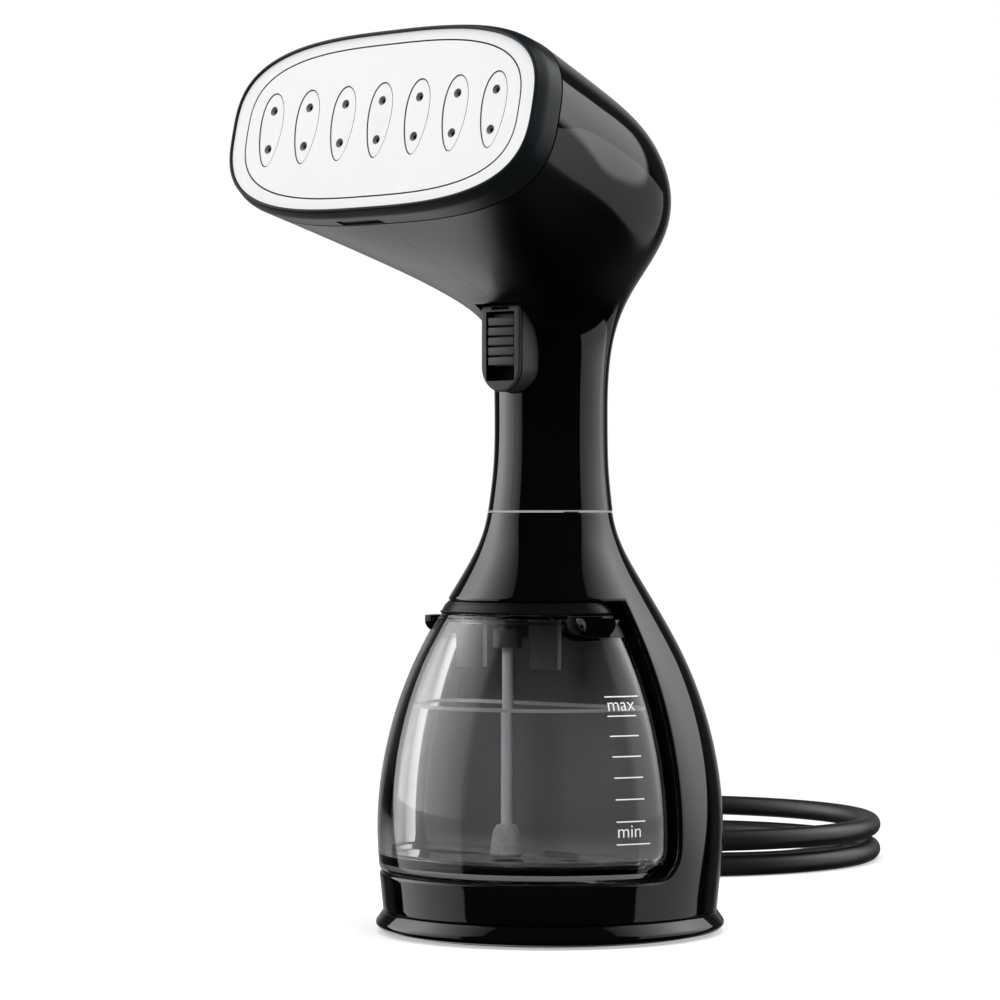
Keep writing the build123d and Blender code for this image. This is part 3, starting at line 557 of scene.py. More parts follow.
def housing_ring(height):
    """One ring of the housing: columns on the spine up to the bay edge, then columns round the front."""
    edge = math.acos(bay_edge(height) / bell_radius(height))
    ring = []
    for column in range(spine_columns):
        turn = edge * (2 * column / spine_columns - 1)
        from_edge = min(column, spine_columns - column)
        level = height - fan_drop(height) * min(from_edge / fan_columns, 1.0)
        ring.append((bell_radius(level) * math.sin(turn), bell_radius(level) * math.cos(turn), level))
    for column in range(front_columns):
        turn = edge + (2 * math.pi - 2 * edge) * column / front_columns
        ring.append((bell_radius(height) * math.sin(turn), bell_radius(height) * math.cos(turn), height))
    return ring


# %% Lower housing
corner_heights = [bay_bottom + bay_corner * (1 - math.cos(math.radians(9 * step))) for step in range(11)]
housing_heights = list(np.linspace(body_bottom, bay_bottom, 8))[:-1] + corner_heights
housing_heights += list(np.linspace(corner_heights[-1], bay_top, 44))[1:]
housing_heights += list(np.linspace(bay_top, split_height, 20))[1:]
columns = spine_columns + front_columns
housing_faces = []
for face in loft_faces(len(housing_heights), columns):
    low = housing_heights[face[0] // columns]
    high = housing_heights[face[2] // columns]
    in_bay = high > bay_bottom + 1e-6 and low < bay_top - 1e-6
    if face[0] % columns < spine_columns or not in_bay:
        housing_faces.append(face[::-1])
housing = piece("bell_housing", [p for h in housing_heights for p in housing_ring(h)], housing_faces)


def drop_loose(shape):
    """Delete the points inside the opening, which carry no face."""
    bmesh.ops.delete(shape, geom=[v for v in shape.verts if not v.link_faces], context="VERTS")


def round_rims(shape):
    """Round the edge of the bay, and more finely the two ends of the bell."""
    for low, high, radius in ((bay_bottom - 1, bay_top + 1, bay_round), (0, split_height + 1, end_round)):
        sharp_edges = [e for e in shape.edges if len(e.link_faces) == 2
                       and e.calc_face_angle() > math.radians(50)
                       and all(low * mm < v.co.z < high * mm for v in e.verts)]
        bmesh.ops.bevel(shape, geom=sharp_edges, offset=radius * mm, segments=5, profile=0.5,
                        affect="EDGES")


rework(housing, drop_loose)
thicken(housing, wall)
rework(housing, round_rims)
dress(housing, "main", "gloss_black", "lower_housing")

# %% [markdown]
# ## Foot, pad and trim ring
# These pieces are round, so each is a lathe. The foot flares out under the body and has a soft edge that
# catches a line of light. The rubber pad under it has shallow rings so that it grips. A thin light ring
# covers the joint of body and neck.

# %% Foot and pad
foot_line = [(49.9, 1.2), (55.6, 1.2), (57.0, 2.6), (57.0, 3.7), (54.5, 7.25), (49.9, 7.25)]
foot = lathe("foot_ring", rounded(foot_line, 0.7), 160, closed=True)
foot_floor = lathe("foot_floor", [(0.01, 1.2), (49.95, 1.2), (49.95, 4.2), (0.01, 4.2)], 96, closed=True)
dress(foot, "main", "gloss_black", "base_foot", sharp=50)
dress(foot_floor, "main", "inner_black")

pad_line = [(0.01, 1.2), (0.01, 0.4)]
for ring in range(5):
    middle = 10.0 + 9.0 * ring
    pad_line += [(middle - 2.6, 0.4), (middle - 2.2, 0.0), (middle + 2.2, 0.0), (middle + 2.6, 0.4)]
pad_line += [(51.2, 0.4), (52.0, 0.7), (52.0, 1.2)]
pad = lathe("grip_pad", pad_line, 128)
dress(pad, "main", "soft_black", "base_pad")

trim_line = rounded([(17.0, 137.05), (20.45, 137.05), (20.45, 137.55), (17.0, 137.55)], 0.15, 2)
trim = lathe("trim_ring", trim_line, 128, closed=True)
dress(trim, "main", "trim_light", "neck_trim_ring")

# %% [markdown]
# ## Water tank
# The vessel is a clear wall with rounded rear corners, so that a dark groove shows beside the housing. Rings
# of equal point counts follow its outline at each height, and a smaller form of the same kind is cut out to
# leave the wall. Two pockets for the latch buttons are cut from its upper corners, because their edges are
# crisp on the real tank.

# %% Tank outline
tank_bottom = 20.4
vessel_top = 104.0
tank_top = 107.9
tank_gap = 0.15
tank_rear = -0.6
tank_wall = 4.2
rear_wall = 2.2
tank_corner = 9.6
tank_rear_corner = 11.0
tank_middle = (0.0, -24.0)
arc_points = 96
fillet_points = 10


def tank_ring(height, inset, rear_inset):
    """Outline of the tank at one height: front arc, two rear corners and a straight back."""
    drop = max(tank_bottom + tank_corner - height, 0)
    bend = tank_corner - inset
    rear = tank_rear - rear_inset - (bend - math.sqrt(max(bend ** 2 - min(drop, bend) ** 2, 0)))
    radius = bell_radius(height) - tank_gap - inset
    corner = tank_rear_corner - inset
    centre_y = rear - corner
    centre_x = math.sqrt((radius - corner) ** 2 - centre_y ** 2)
    meet = math.atan2(centre_x, centre_y)
    ring = []
    for step in range(arc_points + 1):
        turn = meet + (2 * math.pi - 2 * meet) * step / arc_points
        ring.append((radius * math.sin(turn), radius * math.cos(turn), height))
    for side, first, last in ((-1, -meet, 0.0), (1, 0.0, meet)):
        for step in range(fillet_points + 1):
            turn = first + (last - first) * step / fillet_points
            across = side * centre_x + corner * math.sin(turn)
            ring.append((across, centre_y + corner * math.cos(turn), height))
    return ring


print("tank outline has", len(tank_ring(vessel_top, 0.0, 0.0)), "points")


# %% Tank form
def pull_in(point, distance, height):
    """Point moved towards the middle of the tank, at a new height."""
    away = (point[0] - tank_middle[0], point[1] - tank_middle[1])
    share = 1 - distance / math.hypot(*away)
    return (tank_middle[0] + away[0] * share, tank_middle[1] + away[1] * share, height)


def tank_solid(name, low, high, inset, rear_inset, edge, rows=60):
    """Closed form of the tank between two heights, with its upper and lower edges drawn in."""
    rings = [tank_ring(height, inset, rear_inset) for height in np.linspace(low, high, rows)]
    for place, turn in ((0, -1), (-1, 1)):
        flat = rings[place]
        level = (low, high)[place]
        drawn = []
        for step in (1, 2, 3):
            angle = math.radians(30 * step)
            pull = edge * (1 - math.cos(angle))
            drop = edge * (1 - math.sin(angle))
            drawn.append([pull_in(p, pull, level - turn * drop) for p in flat])
        flat[:] = [pull_in(p, 0, level - turn * edge) for p in flat]
        rings = drawn[::-1] + rings if place == 0 else rings + drawn
    return loft(name, rings)


# %% Latch pockets
latch_low = 97.4
latch_high = 103.2
latch_front = -24.0
latch_rear = -13.5
latch_inner = 31.0
latch_rows = 14
latch_front_draw = 4.6
latch_rear_draw = 2.0
latch_belly = 2.2
pocket_inner = 27.1
pocket_outer = 62.0
pocket_gap = 0.45
tongue_width = 2.6
tongue_low = 98.1
tongue_high = 102.5
tongue_start = latch_rear - 1.5
tongue_end = 3.6
print("latch pocket is", round(latch_high - latch_low + 2 * pocket_gap, 2), "mm high")


def latch_span(share):
    """Front and rear of the latch button at one level: wide at its flat top, drawn in at its belly."""
    shrink = 1 - math.sqrt(max(1 - (1 - share) ** latch_belly, 0))
    return latch_front + latch_front_draw * shrink, latch_rear - latch_rear_draw * shrink, shrink


def pocket_cutters(name, grow):
    """For each side, a hollow round the button and a channel for its tongue."""
    gap = pocket_gap + grow
    levels = [latch_low + (latch_high - latch_low) * row / latch_rows for row in range(latch_rows + 1)]
    spans = [latch_span(0.03 + 0.97 * row / latch_rows) for row in range(latch_rows + 1)]
    lens = [(span[0] - gap, level - gap) for span, level in zip(spans, levels)]
    lens += [(spans[-1][0] - gap, latch_high + gap), (spans[-1][1] + gap, latch_high + gap)]
    lens += [(span[1] + gap, level - gap) for span, level in zip(spans[::-1], levels[::-1])]
    channel = box_outline((latch_rear - 2.0, tongue_low - gap), (6.0, tongue_high + gap))
    tongue_hollow = (channel, latch_inner - 2.8, latch_inner + 3.2 + grow)
    cutters = []
    for side in (-1, 1):
        for outline, inner, outer in ((lens, pocket_inner, pocket_outer), tongue_hollow):
            low, high = sorted((side * (inner - grow), side * outer))
            cutters.append(prism(name, outline, low, high, 0))
    return cutters


# %% Tank vessel
joint_plane = -4.2
joint_gap = 0.02
outer_round = 1.2
inner_round = 2.6
vessel_roof = 1.4
pocket_wall = 1.6
# Heights of a painted highlight: a lighter band on the skin of the tank's lower rim.
painted_highlight_band = (20.7, 23.1)


def tank_part(name, front, rear):
    """Hollow tank with its pockets, kept between two depths."""
    part = tank_solid(name, tank_bottom, vessel_top, 0.0, 0.0, outer_round)
    cut(part, *pocket_cutters("pocket", 0.0))
    hollow = tank_solid("tank_hollow", tank_bottom + tank_wall, vessel_top - vessel_roof, tank_wall,
                        rear_wall, inner_round)
    cut(hollow, *pocket_cutters("pocket_wall", pocket_wall))
    slab = box_outline((-80, 0), (80, 130))
    before = prism("before", slab, front - 90, front, 1)
    behind = prism("behind", slab, rear, rear + 90, 1)
    cut(part, hollow, before, behind)
    return part


vessel = tank_part("tank_vessel", -80.0, joint_plane - joint_gap)
dress(vessel, "tank", "smoked_clear", "tank_shell")
vessel.visible_shadow = False
# Painted highlight for the lower rim of the tank, in place of a line of light.
surface("painted_rim_highlight", (0.11, 0.11, 0.112), (0.14, 0.14, 0.142), (0.12, 0.2), 1500, 3e-6)
# Painted shade: the walls of the latch pockets are an opaque dark grey instead of clear.
surface("painted_pocket_shade", (0.02, 0.02, 0.0205), (0.028, 0.028, 0.0285), (0.4, 0.5), 1500, 3e-6, specular=0.2)
vessel.data.materials.append(finishes["painted_rim_highlight"])
vessel.data.materials.append(finishes["painted_pocket_shade"])
for face in vessel.data.polygons:
    x, y, z = face.center / mm
    on_skin = math.hypot(x, y) > bell_radius(z) - 0.3
    at_pocket = abs(x) > pocket_inner - 0.1 and y > latch_front - 0.6
    if painted_highlight_band[0] < z < painted_highlight_band[1] and on_skin:
        face.material_index = 1
    elif at_pocket and latch_low - 0.6 < z < latch_high + 0.6 and not on_skin:
        face.material_index = 2

# %% Tank back and lid
water_level = 74.0


def wall_with_painted_water_light():
    """Finish of the back wall: smoke grey, with painted light where the water stands before it and painted
    shade above.
    """
    material, tree, shader, place = node_tree("back_smoke_and_painted_light")
    colour = colour_between(tree, noise(tree, place, 22.0), (0.14, 0.14, 0.142), (0.16, 0.16, 0.162))
    height = node_step(tree, "ShaderNodeSeparateXYZ", place).outputs["Z"]
    # Painted light and shade: full colour below the water level, 0.6 of it above.
    dim = node_range(tree, height, water_level * mm, (water_level + 1.0) * mm, 1.0, 0.6)
    dimmed = node_step(tree, "ShaderNodeVectorMath", operation="SCALE", Vector=colour, Scale=dim)
    tree.links.new(dimmed.outputs["Vector"], shader.inputs["Base Color"])
    tree.links.new(spread(tree, noise(tree, place, 30.0), 0.4, 0.5), shader.inputs["Roughness"])
    shader.inputs["Specular IOR Level"].default_value = 0.1
    finishes["back_smoke_and_painted_light"] = material


wall_with_painted_water_light()
tank_back = tank_part("tank_rear_wall", joint_plane + joint_gap, 10.0)
dress(tank_back, "tank", "tank_dark", "tank_back", look="back_smoke_and_painted_light")
surface("lid_dark", (0.003, 0.003, 0.0033), (0.005, 0.005, 0.0055), (0.2, 0.3), 1200, 3e-6, specular=0.15)
lid = tank_solid("tank_cover", vessel_top + 0.05, tank_top, 0.0, 0.0, 0.6, 6)
dress(lid, "tank", "tank_dark", "tank_lid", look="lid_dark")
frame["nodes"]["bay_liner"].data.materials[0] = finishes["lid_dark"]

# %% [markdown]
# ## Water
# The water stands between the two highest lines. It could fill the vessel up to the wall, but two faces in
# one place would flicker, so a hair of air is left between. It creeps up the wall in a small lip, painted
# light grey as a painted highlight for the bright line of the water level.

# %% Water
clear_finish("water", (0.97, 0.98, 0.98), 1.04, (0.0, 0.01))
# Painted highlight: opaque light grey for the lip, as the bright line of the water level.
surface("painted_waterline_highlight", (0.38, 0.38, 0.385), (0.46, 0.46, 0.465), (0.1, 0.2), 1500, 3e-6)
water_gap = 0.2
water_levels = np.linspace(tank_bottom + tank_wall + 0.5, water_level, 32)
water_rings = [tank_ring(h, tank_wall + water_gap, rear_wall + water_gap) for h in water_levels]
water_rings.append([pull_in(p, 0.5, water_level - 0.45) for p in water_rings[-1]])
water_rings.append([pull_in(p, 1.6, water_level - 0.75) for p in water_rings[-2]])
water = loft("tank_water", water_rings)
dress(water, "tank", "smoked_clear", sharp=40, look="water")
lip_line = [(0.02, -0.7), (0.02, 0.4), (0.5, -0.1), (0.8, -0.7)]
lip_rings = []
for inset, rise in lip_line + lip_line[:1]:
    gap = water_gap / 2 + inset
    flat = tank_ring(water_level, tank_wall + gap, rear_wall + gap)
    lip_rings.append([(x, y, water_level + rise) for x, y, z in flat])
lip = loft("water_lip", lip_rings, caps=False)
dress(lip, "tank", "smoked_clear", sharp=40, look="painted_waterline_highlight")
for wet in (water, lip):
    wet.visible_shadow = False
print("water level at", water_level)

# %% [markdown]
# ## Level marks
# White lines are printed on the tank, a little further apart towards the foot. A painted texture would blur
# from close by, so they are thin meshes. Geometry Nodes repeat one line down the wall with a growing step
# and stretch the first and the last. The flat result is then wrapped on the bell.

# %% Helpers for Geometry Nodes
def begin_tree(name, sizes):
    """Geometry Nodes tree with named inputs for its sizes: counts, lengths or directions."""
    tree = bpy.data.node_groups.new(name, "GeometryNodeTree")
    for way in ("INPUT", "OUTPUT"):
        tree.interface.new_socket("Geometry", in_out=way, socket_type="NodeSocketGeometry")
    kinds = {int: "NodeSocketInt", float: "NodeSocketFloat", tuple: "NodeSocketVector"}
    for word, value in sizes.items():
        socket = tree.interface.new_socket(word, in_out="INPUT", socket_type=kinds[type(value)])
        socket.default_value = value
    return tree, tree.nodes.new("NodeGroupInput").outputs


def end_tree(tree, shape, finish):
    """Make all copies real, paint them and hand them on."""
    real = node_step(tree, "GeometryNodeRealizeInstances", shape)
    paint = node_step(tree, "GeometryNodeSetMaterial", real.outputs["Geometry"], Material=finishes[finish])
    node_step(tree, "NodeGroupOutput", paint.outputs["Geometry"])
    return tree


# %% Level lines
mark_azimuth = math.radians(67.6)
mark_count = 8
mark_top = 78.7
mark_start = -5.8
mark_step = 5.92
mark_growth = 0.093
mark_longer = 0.18
mark_length = 10.2
mark_half = 0.19
mark_thickness = 0.06
surface("print_white", (0.78, 0.78, 0.79), (0.84, 0.84, 0.85), (0.4, 0.5), 3000, 2e-6)


def wrap_on_tank(obj):
    """Bend a flat print, drawn across, up and out, on to the wall of the tank, and attach it to the tank."""
    for vertex in obj.data.vertices:
        across, height, out = [c / mm for c in vertex.co]
        radius = bell_radius(height) - tank_gap + out
        turn = mark_azimuth + across / radius
        vertex.co = Vector((radius * math.sin(turn), -radius * math.cos(turn), height)) * mm
    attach(obj, "tank")
    print(obj.name, "has", len(obj.data.polygons), "faces")


def mark_tree():
    """Node tree: one line, repeated downwards with a growing step, the first and the last one longer."""
    tree, given = begin_tree("level_marks", {"Count": mark_count, "Step": mark_step * mm,
                                             "Growth": mark_growth * mm, "Longer ends": mark_longer})
    index = tree.nodes.new("GeometryNodeInputIndex").outputs[0]
    line = node_step(tree, "GeometryNodeMeshLine", Count=given["Count"], Offset=(0, 0, 0))
    step = node_math(tree, "ADD", given["Step"], node_math(tree, "MULTIPLY", given["Growth"], index))
    drop = node_math(tree, "MULTIPLY", node_math(tree, "MULTIPLY", step, index), -1.0)
    place = node_step(tree, "ShaderNodeCombineXYZ", Y=drop)
    points = node_step(tree, "GeometryNodeSetPosition", Geometry=line.outputs["Mesh"],
                       Offset=place.outputs["Vector"])
    first = node_math(tree, "COMPARE", index, 0.0)
    last = node_math(tree, "COMPARE", index, node_math(tree, "SUBTRACT", given["Count"], 1.0))
    longer = node_math(tree, "MULTIPLY", node_math(tree, "ADD", first, last), given["Longer ends"])
    scale = node_step(tree, "ShaderNodeCombineXYZ", node_math(tree, "ADD", longer, 1.0), 1.0, 1.0)
    copies = node_step(tree, "GeometryNodeInstanceOnPoints", Points=points.outputs["Geometry"],
                       Instance=given["Geometry"], Scale=scale.outputs["Vector"])
    return end_tree(tree, copies.outputs["Instances"], "print_white")


mark_section = box_outline((-mark_half, 0.0), (mark_half, mark_thickness))
mark_rings = [[(mark_length * step / 12, up, out) for up, out in mark_section] for step in range(13)]
marks = loft("level_lines", mark_rings)
marks.modifiers.new("marks", "NODES").node_group = mark_tree()
settle(marks)
shift(marks, mark_start, mark_top, 0)
wrap_on_tank(marks)


# %% Level words
def level_word(word, across, height, size):
    """Plain word printed beside the lines."""
    text = bpy.data.curves.new(word, "FONT")
    text.body = word
    text.size = size * mm
    text.align_x = "CENTER"
    text.extrude = 0.03 * mm
    text.offset = -0.04 * mm
    text.resolution_u = 4
    flat = add_object(word, text)
    obj = add_object("level_" + word, plain_mesh(flat))
    bpy.data.objects.remove(flat)
    obj.data.materials.clear()
    obj.data.materials.append(finishes["print_white"])
    shift(obj, across, height, 0.05)
    wrap_on_tank(obj)


level_word("max", -0.5, 74.3, 5.9)
level_word("min", -1.3, 34.9, 5.9)

# %% [markdown]
# ## Fittings in the tank
# A grey filter hangs on the suction tube. It is a round form with a soft shoulder, so a lathe makes it, and
# the finish gives it a fine grain. The tube and its holder keep their solids.

# %% Filter and tube
tube_y = -21.0
surface("filter_grey", (0.3, 0.3, 0.3), (0.42, 0.42, 0.42), (0.6, 0.7), 2600, 6e-5, patch=700.0)
surface("tube_grey", (0.52, 0.52, 0.53), (0.58, 0.58, 0.59), (0.3, 0.4), 1500, 5e-6)
surface("holder_grey", (0.07, 0.07, 0.072), (0.09, 0.09, 0.092), (0.3, 0.4), 1500, 5e-6)
filter_line = [(0.01, 26.0), (5.3, 26.0), (4.5, 33.6), (3.0, 36.2), (1.85, 36.2), (1.85, 31.0), (0.01, 31.0)]
suction_filter = lathe("suction_filter", rounded(filter_line, 1.5, 6, False), 48)
shift(suction_filter, 0, tube_y, 0)
dress(suction_filter, "tank", "inner_white", "suction_filter", sharp=60, look="filter_grey")
for node, finish in (("suction_tube", "tube_grey"), ("tube_holder", "holder_grey")):
    frame["nodes"][node].data.materials[0] = finishes[finish]

# %% [markdown]
# ## Latch buttons
# One push button sits in each upper corner of the tank. From above, its outer side follows the bell. From
# the front it has a flat top and a belly, like a lens. No single profile gives both, so a loft joins one
# outline for each level. A tongue behind it enters the wall of the bay and holds the tank.

# %% Latch buttons
latch_tip = 39.0
latch_front_tip = 34.0
latch_tip_draw = 3.0
latch_front_tip_draw = 2.0
latch_swell = 0.5
dimple_depth = 0.8
dimple_rim = 0.12
dimple_steps = 24


def latch_level(side, share):
    """Plan outline of the button at one level: full at the top, drawn in towards the bottom."""
    height = latch_low + (latch_high - latch_low) * share
    front, rear, shrink = latch_span(share)
    swell = latch_swell * math.sin(math.pi * min(share + 0.12, 1.0))
    rear_tip = latch_tip - latch_tip_draw * shrink - latch_swell + swell
    front_tip = latch_front_tip - latch_front_tip_draw * shrink - latch_swell + swell
    outer = []
    for step in range(dimple_steps + 1):
        across = step / dimple_steps
        rim = min(across / dimple_rim, (1 - across) / dimple_rim, share / 0.3, (1 - share) / 0.18, 1.0)
        dimple = dimple_depth * (3 * rim ** 2 - 2 * rim ** 3)
        outer.append((front_tip + (rear_tip - front_tip) * across - dimple, front + (rear - front) * across))
    return [(side * x, y, height) for x, y in [(latch_inner, front)] + outer + [(latch_inner, rear)]]


def latch_button(side, word):
    """Button of one side, with the tongue that enters the bay wall."""
    levels = [latch_level(side, 0.02 + 0.98 * row / latch_rows) for row in range(latch_rows + 1)]
    button = loft("latch_" + word, levels)
    bevel(button, 0.5, 3, 50)
    tongue_corners = box_outline((latch_inner, tongue_low), (latch_inner + tongue_width, tongue_high))
    tongue_outline = [(side * x, z) for x, z in tongue_corners]
    tongue = prism("latch_tongue_" + word, tongue_outline, tongue_start, tongue_end, 1)
    bevel(tongue, 0.3, 2)
    dress(button, "latch_" + word, "gloss_black", "latch_button_" + word, sharp=45)
    dress(tongue, "latch_" + word, "gloss_black")


latch_button(1, "right")
latch_button(-1, "left")

# %% [markdown]
# ## Springs
# A wound spring sits behind each latch button and behind the trigger. Geometry Nodes sweep a wire along a
# spiral with named inputs for its sizes, so that one tree serves all three.

# %% Springs
latch_wire = 0.25
trigger_wire = 0.4


def spring_tree():
    """Node tree: a round wire swept along a spiral."""
    tree, given = begin_tree("wound_wire", {"Turns": 3.0, "Radius": 2 * mm, "Length": 8 * mm,
                                            "Wire": 0.3 * mm})
    spiral = node_step(tree, "GeometryNodeCurveSpiral", Resolution=28, Rotations=given["Turns"],
                       Start_Radius=given["Radius"], End_Radius=given["Radius"], Height=given["Length"])
    circle = node_step(tree, "GeometryNodeCurvePrimitiveCircle", Resolution=10, Radius=given["Wire"])
    wire = node_step(tree, "GeometryNodeCurveToMesh", Curve=spiral.outputs["Curve"],
                     Profile_Curve=circle.outputs["Curve"], Fill_Caps=True)
    return end_tree(tree, wire.outputs["Mesh"], "steel")


def wound_spring(node, body, axis, turns, wire, fixed_low):
    """Spring in the place of its solid, along X or Y."""
    low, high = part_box(node)
    length = high[axis] - low[axis]
    radius = (high[2] - low[2]) / 2
    spring = piece(node + "_wire", [], [])
    winding = spring.modifiers.new("winding", "NODES")
    winding.node_group = wire_tree
    sizes = {"Turns": turns, "Radius": radius - wire * mm, "Length": length - 2 * wire * mm,
             "Wire": wire * mm}
    for item in wire_tree.interface.items_tree:
        if item.name in sizes:
            winding[item.identifier] = float(sizes[item.name])
    settle(spring)
    middle = [(a + b) / 2 for a, b in zip(low, high)]
    for vertex in spring.data.vertices:
        across, up, onward = vertex.co
        place = [middle[0] + across, middle[1] + across, middle[2] + up]
        place[axis] = low[axis] + wire * mm + onward
        vertex.co = place
    outward(spring)
    dress(spring, body, "steel", node, sharp=60)
    anchor = list(middle)
    anchor[axis] = low[axis] if fixed_low else high[axis]
    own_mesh(spring)


wire_tree = spring_tree()
wound_spring("latch_spring_right", "tank", 0, 3, latch_wire, True)
wound_spring("latch_spring_left", "tank", 0, 3, latch_wire, False)
wound_spring("trigger_spring", "main", 1, 5, trigger_wire, False)

# %% [markdown]
# ## Neck and head
# Neck and head are one smooth form, moulded as two halves. Sections lean from upright at the neck to the
# tilt of the steam plate. Each section is a superellipse, and all its sizes run on smooth curves, so that
# reflections flow.

# %% Head sections
plate_lean = math.radians(13)
face_y = -83.4
face_z = 258.8
bezel_depth = 11.0
face_half_width = 65.0
face_half_height = 30.6
face_power = 3.0
plate_normal = Vector((0, -math.cos(plate_lean), math.sin(plate_lean)))
plate_up = Vector((0, math.sin(plate_lean), math.cos(plate_lean)))
face_middle = Vector((0, face_y, face_z))


def on_face(across, up, depth):
    """Point given by its place on the front of the bezel and its depth behind it."""
    return tuple(face_middle + Vector((across, 0, 0)) + plate_up * up - plate_normal * depth)


rim_low = on_face(0, -face_half_height, bezel_depth)
rim_high = on_face(0, face_half_height, bezel_depth)
head_sections = [(-20.2, 137.6, 20.6, 137.6, 20.4, 2.0),
                 (-18.6, 150.0, 19.5, 150.0, 19.0, 2.0),
                 (-18.0, 165.0, 19.2, 165.0, 18.5, 2.0),
                 (-18.0, 182.0, 19.8, 184.0, 18.8, 2.0),
                 (-21.0, 198.0, 27.0, 210.0, 23.5, 2.15),
                 (-33.0, 206.5, 34.5, 231.5, 36.0, 2.35),
                 (-49.0, 213.0, 22.0, 257.0, 47.0, 2.5),
                 (-65.0, 219.5, -20.0, 275.5, 56.0, 2.7),
                 (rim_low[1], rim_low[2], rim_high[1], rim_high[2], face_half_width, face_power)]
head_rows = 110
half_points = 56


# %% Head rings
def superellipse(width, height, power, turns):
    """Points of a superellipse at given angles from its top."""
    across = np.sign(np.sin(turns)) * np.abs(np.sin(turns)) ** (2 / power) * width
    up = np.sign(np.cos(turns)) * np.abs(np.cos(turns)) ** (2 / power) * height
    return list(zip(across, up))


def even_turns(width, height, power, first, last, count):
    """Angles that space points evenly along a stretch of a superellipse."""
    dense = np.linspace(first, last, 2000)
    steps = np.diff(superellipse(width, height, power, dense), axis=0)
    length = np.concatenate([[0], np.cumsum(np.hypot(steps[:, 0], steps[:, 1]))])
    return np.interp(np.linspace(0, length[-1], count), length, dense)


section_places = [0.0]
for before, after in zip(head_sections, head_sections[1:]):
    middles = [((row[0] + row[2]) / 2, (row[1] + row[3]) / 2) for row in (before, after)]
    section_places.append(section_places[-1] + math.dist(*middles))
section_curves = [smooth_curve(section_places, values) for values in zip(*head_sections)]
print("head is", round(section_places[-1], 1), "mm long through its middle")


def head_ring(place, side):
    """Half ring of the head at one place along it, from its top to its bottom."""
    low_y, low_z, high_y, high_z, half_width, power = [curve(place) for curve in section_curves]
    middle = ((low_y + high_y) / 2, (low_z + high_z) / 2)
    half = ((high_y - low_y) / 2, (high_z - low_z) / 2)
    height = math.hypot(*half)
    turns = even_turns(half_width, height, power, 0, math.pi, half_points)
    ring = []
    for across, up in superellipse(half_width, height, power, turns):
        share = up / height
        ring.append((side * max(across, 0.04), middle[0] + half[0] * share, middle[1] + half[1] * share))
    return ring


# %% Head halves
trigger_width = 16.6
trigger_low = 175.7
trigger_high = 203.8
trigger_gap = 0.4
opening_front = -45.0
opening_back = -11.0


def trigger_outline(grow):
    """Front view of the trigger: a block with a half-round lower end."""
    half = trigger_width / 2
    reach = half + grow
    arc = [math.radians(180 + 180 * step / 24) for step in range(25)]
    outline = [(reach * math.cos(a), trigger_low + half + reach * math.sin(a)) for a in arc]
    return outline + [(reach, trigger_high + grow), (-reach, trigger_high + grow)]


def head_half(side, word):
    """One moulded half: skin, wall thickness and the opening for the trigger."""
    places = np.linspace(0, section_places[-1], head_rows)
    points = [p for place in places for p in head_ring(place, side)]
    faces = loft_faces(head_rows, half_points, closed=False)
    half = piece("head_half_" + word, points, [f[::-1] for f in faces] if side > 0 else faces)
    thicken(half, wall)
    cut(half, prism("trigger_opening", trigger_outline(trigger_gap), opening_front, opening_back, 1))
    dress(half, "main", "gloss_black", "upper_housing_" + word, look="head_black")
    return half


head_halves = [head_half(1, "right"), head_half(-1, "left")]

# %% [markdown]
# ## Bezel and steam plate
# The bezel is a band swept round the edge of the head: a rounded front, a deep side and a thin inner lip.
# The plate has seven drop-shaped recesses with two countersunk holes each. Geometry Nodes repeat one drop
# and its holes across the plate, so that all seven are alike, and the result is cut out of it. Walls of
# recesses, grooves and holes get painted shade, darkest where they are steep.

# %% Bezel
bezel_lip = 2.4
bezel_turns = even_turns(face_half_width, face_half_height, face_power, 0, 2 * math.pi, 221)[:-1]
bezel_line = rounded([(0.0, 10.9), (0.0, 4.2), (1.5, 0.15), (2.4, 0.0), (2.4, 5.0), (1.9, 10.9)], 1.2, 6)
bezel_rings = []
for inset, depth in bezel_line + bezel_line[:1]:
    outline = superellipse(face_half_width - inset, face_half_height - inset, face_power, bezel_turns)
    bezel_rings.append([on_face(across, up, depth) for across, up in outline])
bezel = loft("head_frame", bezel_rings, caps=False)
notch_outline = box_outline((-17.0, -face_half_height - 2.0), (1.0, -face_half_height + 0.7))
notch_rings = [[on_face(x, y, depth) for x, y in notch_outline] for depth in (6.0, 10.0)]
cut(bezel, loft("clip_notch", notch_rings))
dress(bezel, "main", "satin_bezel", "head_bezel")

# %% Plate shapes
drop_pitch = 15.6
drop_count = 7
drop_half_width = 4.9
drop_taper = 0.9
drop_length = 24.6
hole_spacing = 12.7
plate_recess = 0.8
recess_depth = 0.2
plate_back = 3.8
border_side = 5.2
border_end = 3.2
plate_half = (face_half_width - bezel_lip - 0.1, face_half_height - bezel_lip - 0.1)


def face_prism(name, outline, front, back):
    """Outline on the plate, stretched from one depth to another."""
    return loft(name, [[on_face(x, y, depth) for x, y in outline] for depth in (front, back)])


def drop_outline(inset):
    """Egg-shaped outline, wide above and narrow below, drawn in by an inset."""
    points = []
    for step in range(64):
        turn = 2 * math.pi * step / 64
        width = drop_half_width + drop_taper * math.cos(turn) - inset
        points.append((width * math.sin(turn), (drop_length / 2 - inset) * math.cos(turn)))
    return points


def groove_cutter(name, outline_at):
    """Ring with a pointed section that leaves a fine groove along an outline."""
    sections = ((-0.15, plate_recess - 0.3), (0.22, plate_recess + 0.6), (0.59, plate_recess - 0.3))
    rings = [[on_face(x, y, depth) for x, y in outline_at(inset)] for inset, depth in sections]
    return loft(name, rings + rings[:1], caps=False)


def border_outline(inset):
    """Outline of the border line of the plate."""
    width = plate_half[0] - border_side - inset
    height = plate_half[1] - border_end - inset
    return superellipse(width, height, face_power, bezel_turns)


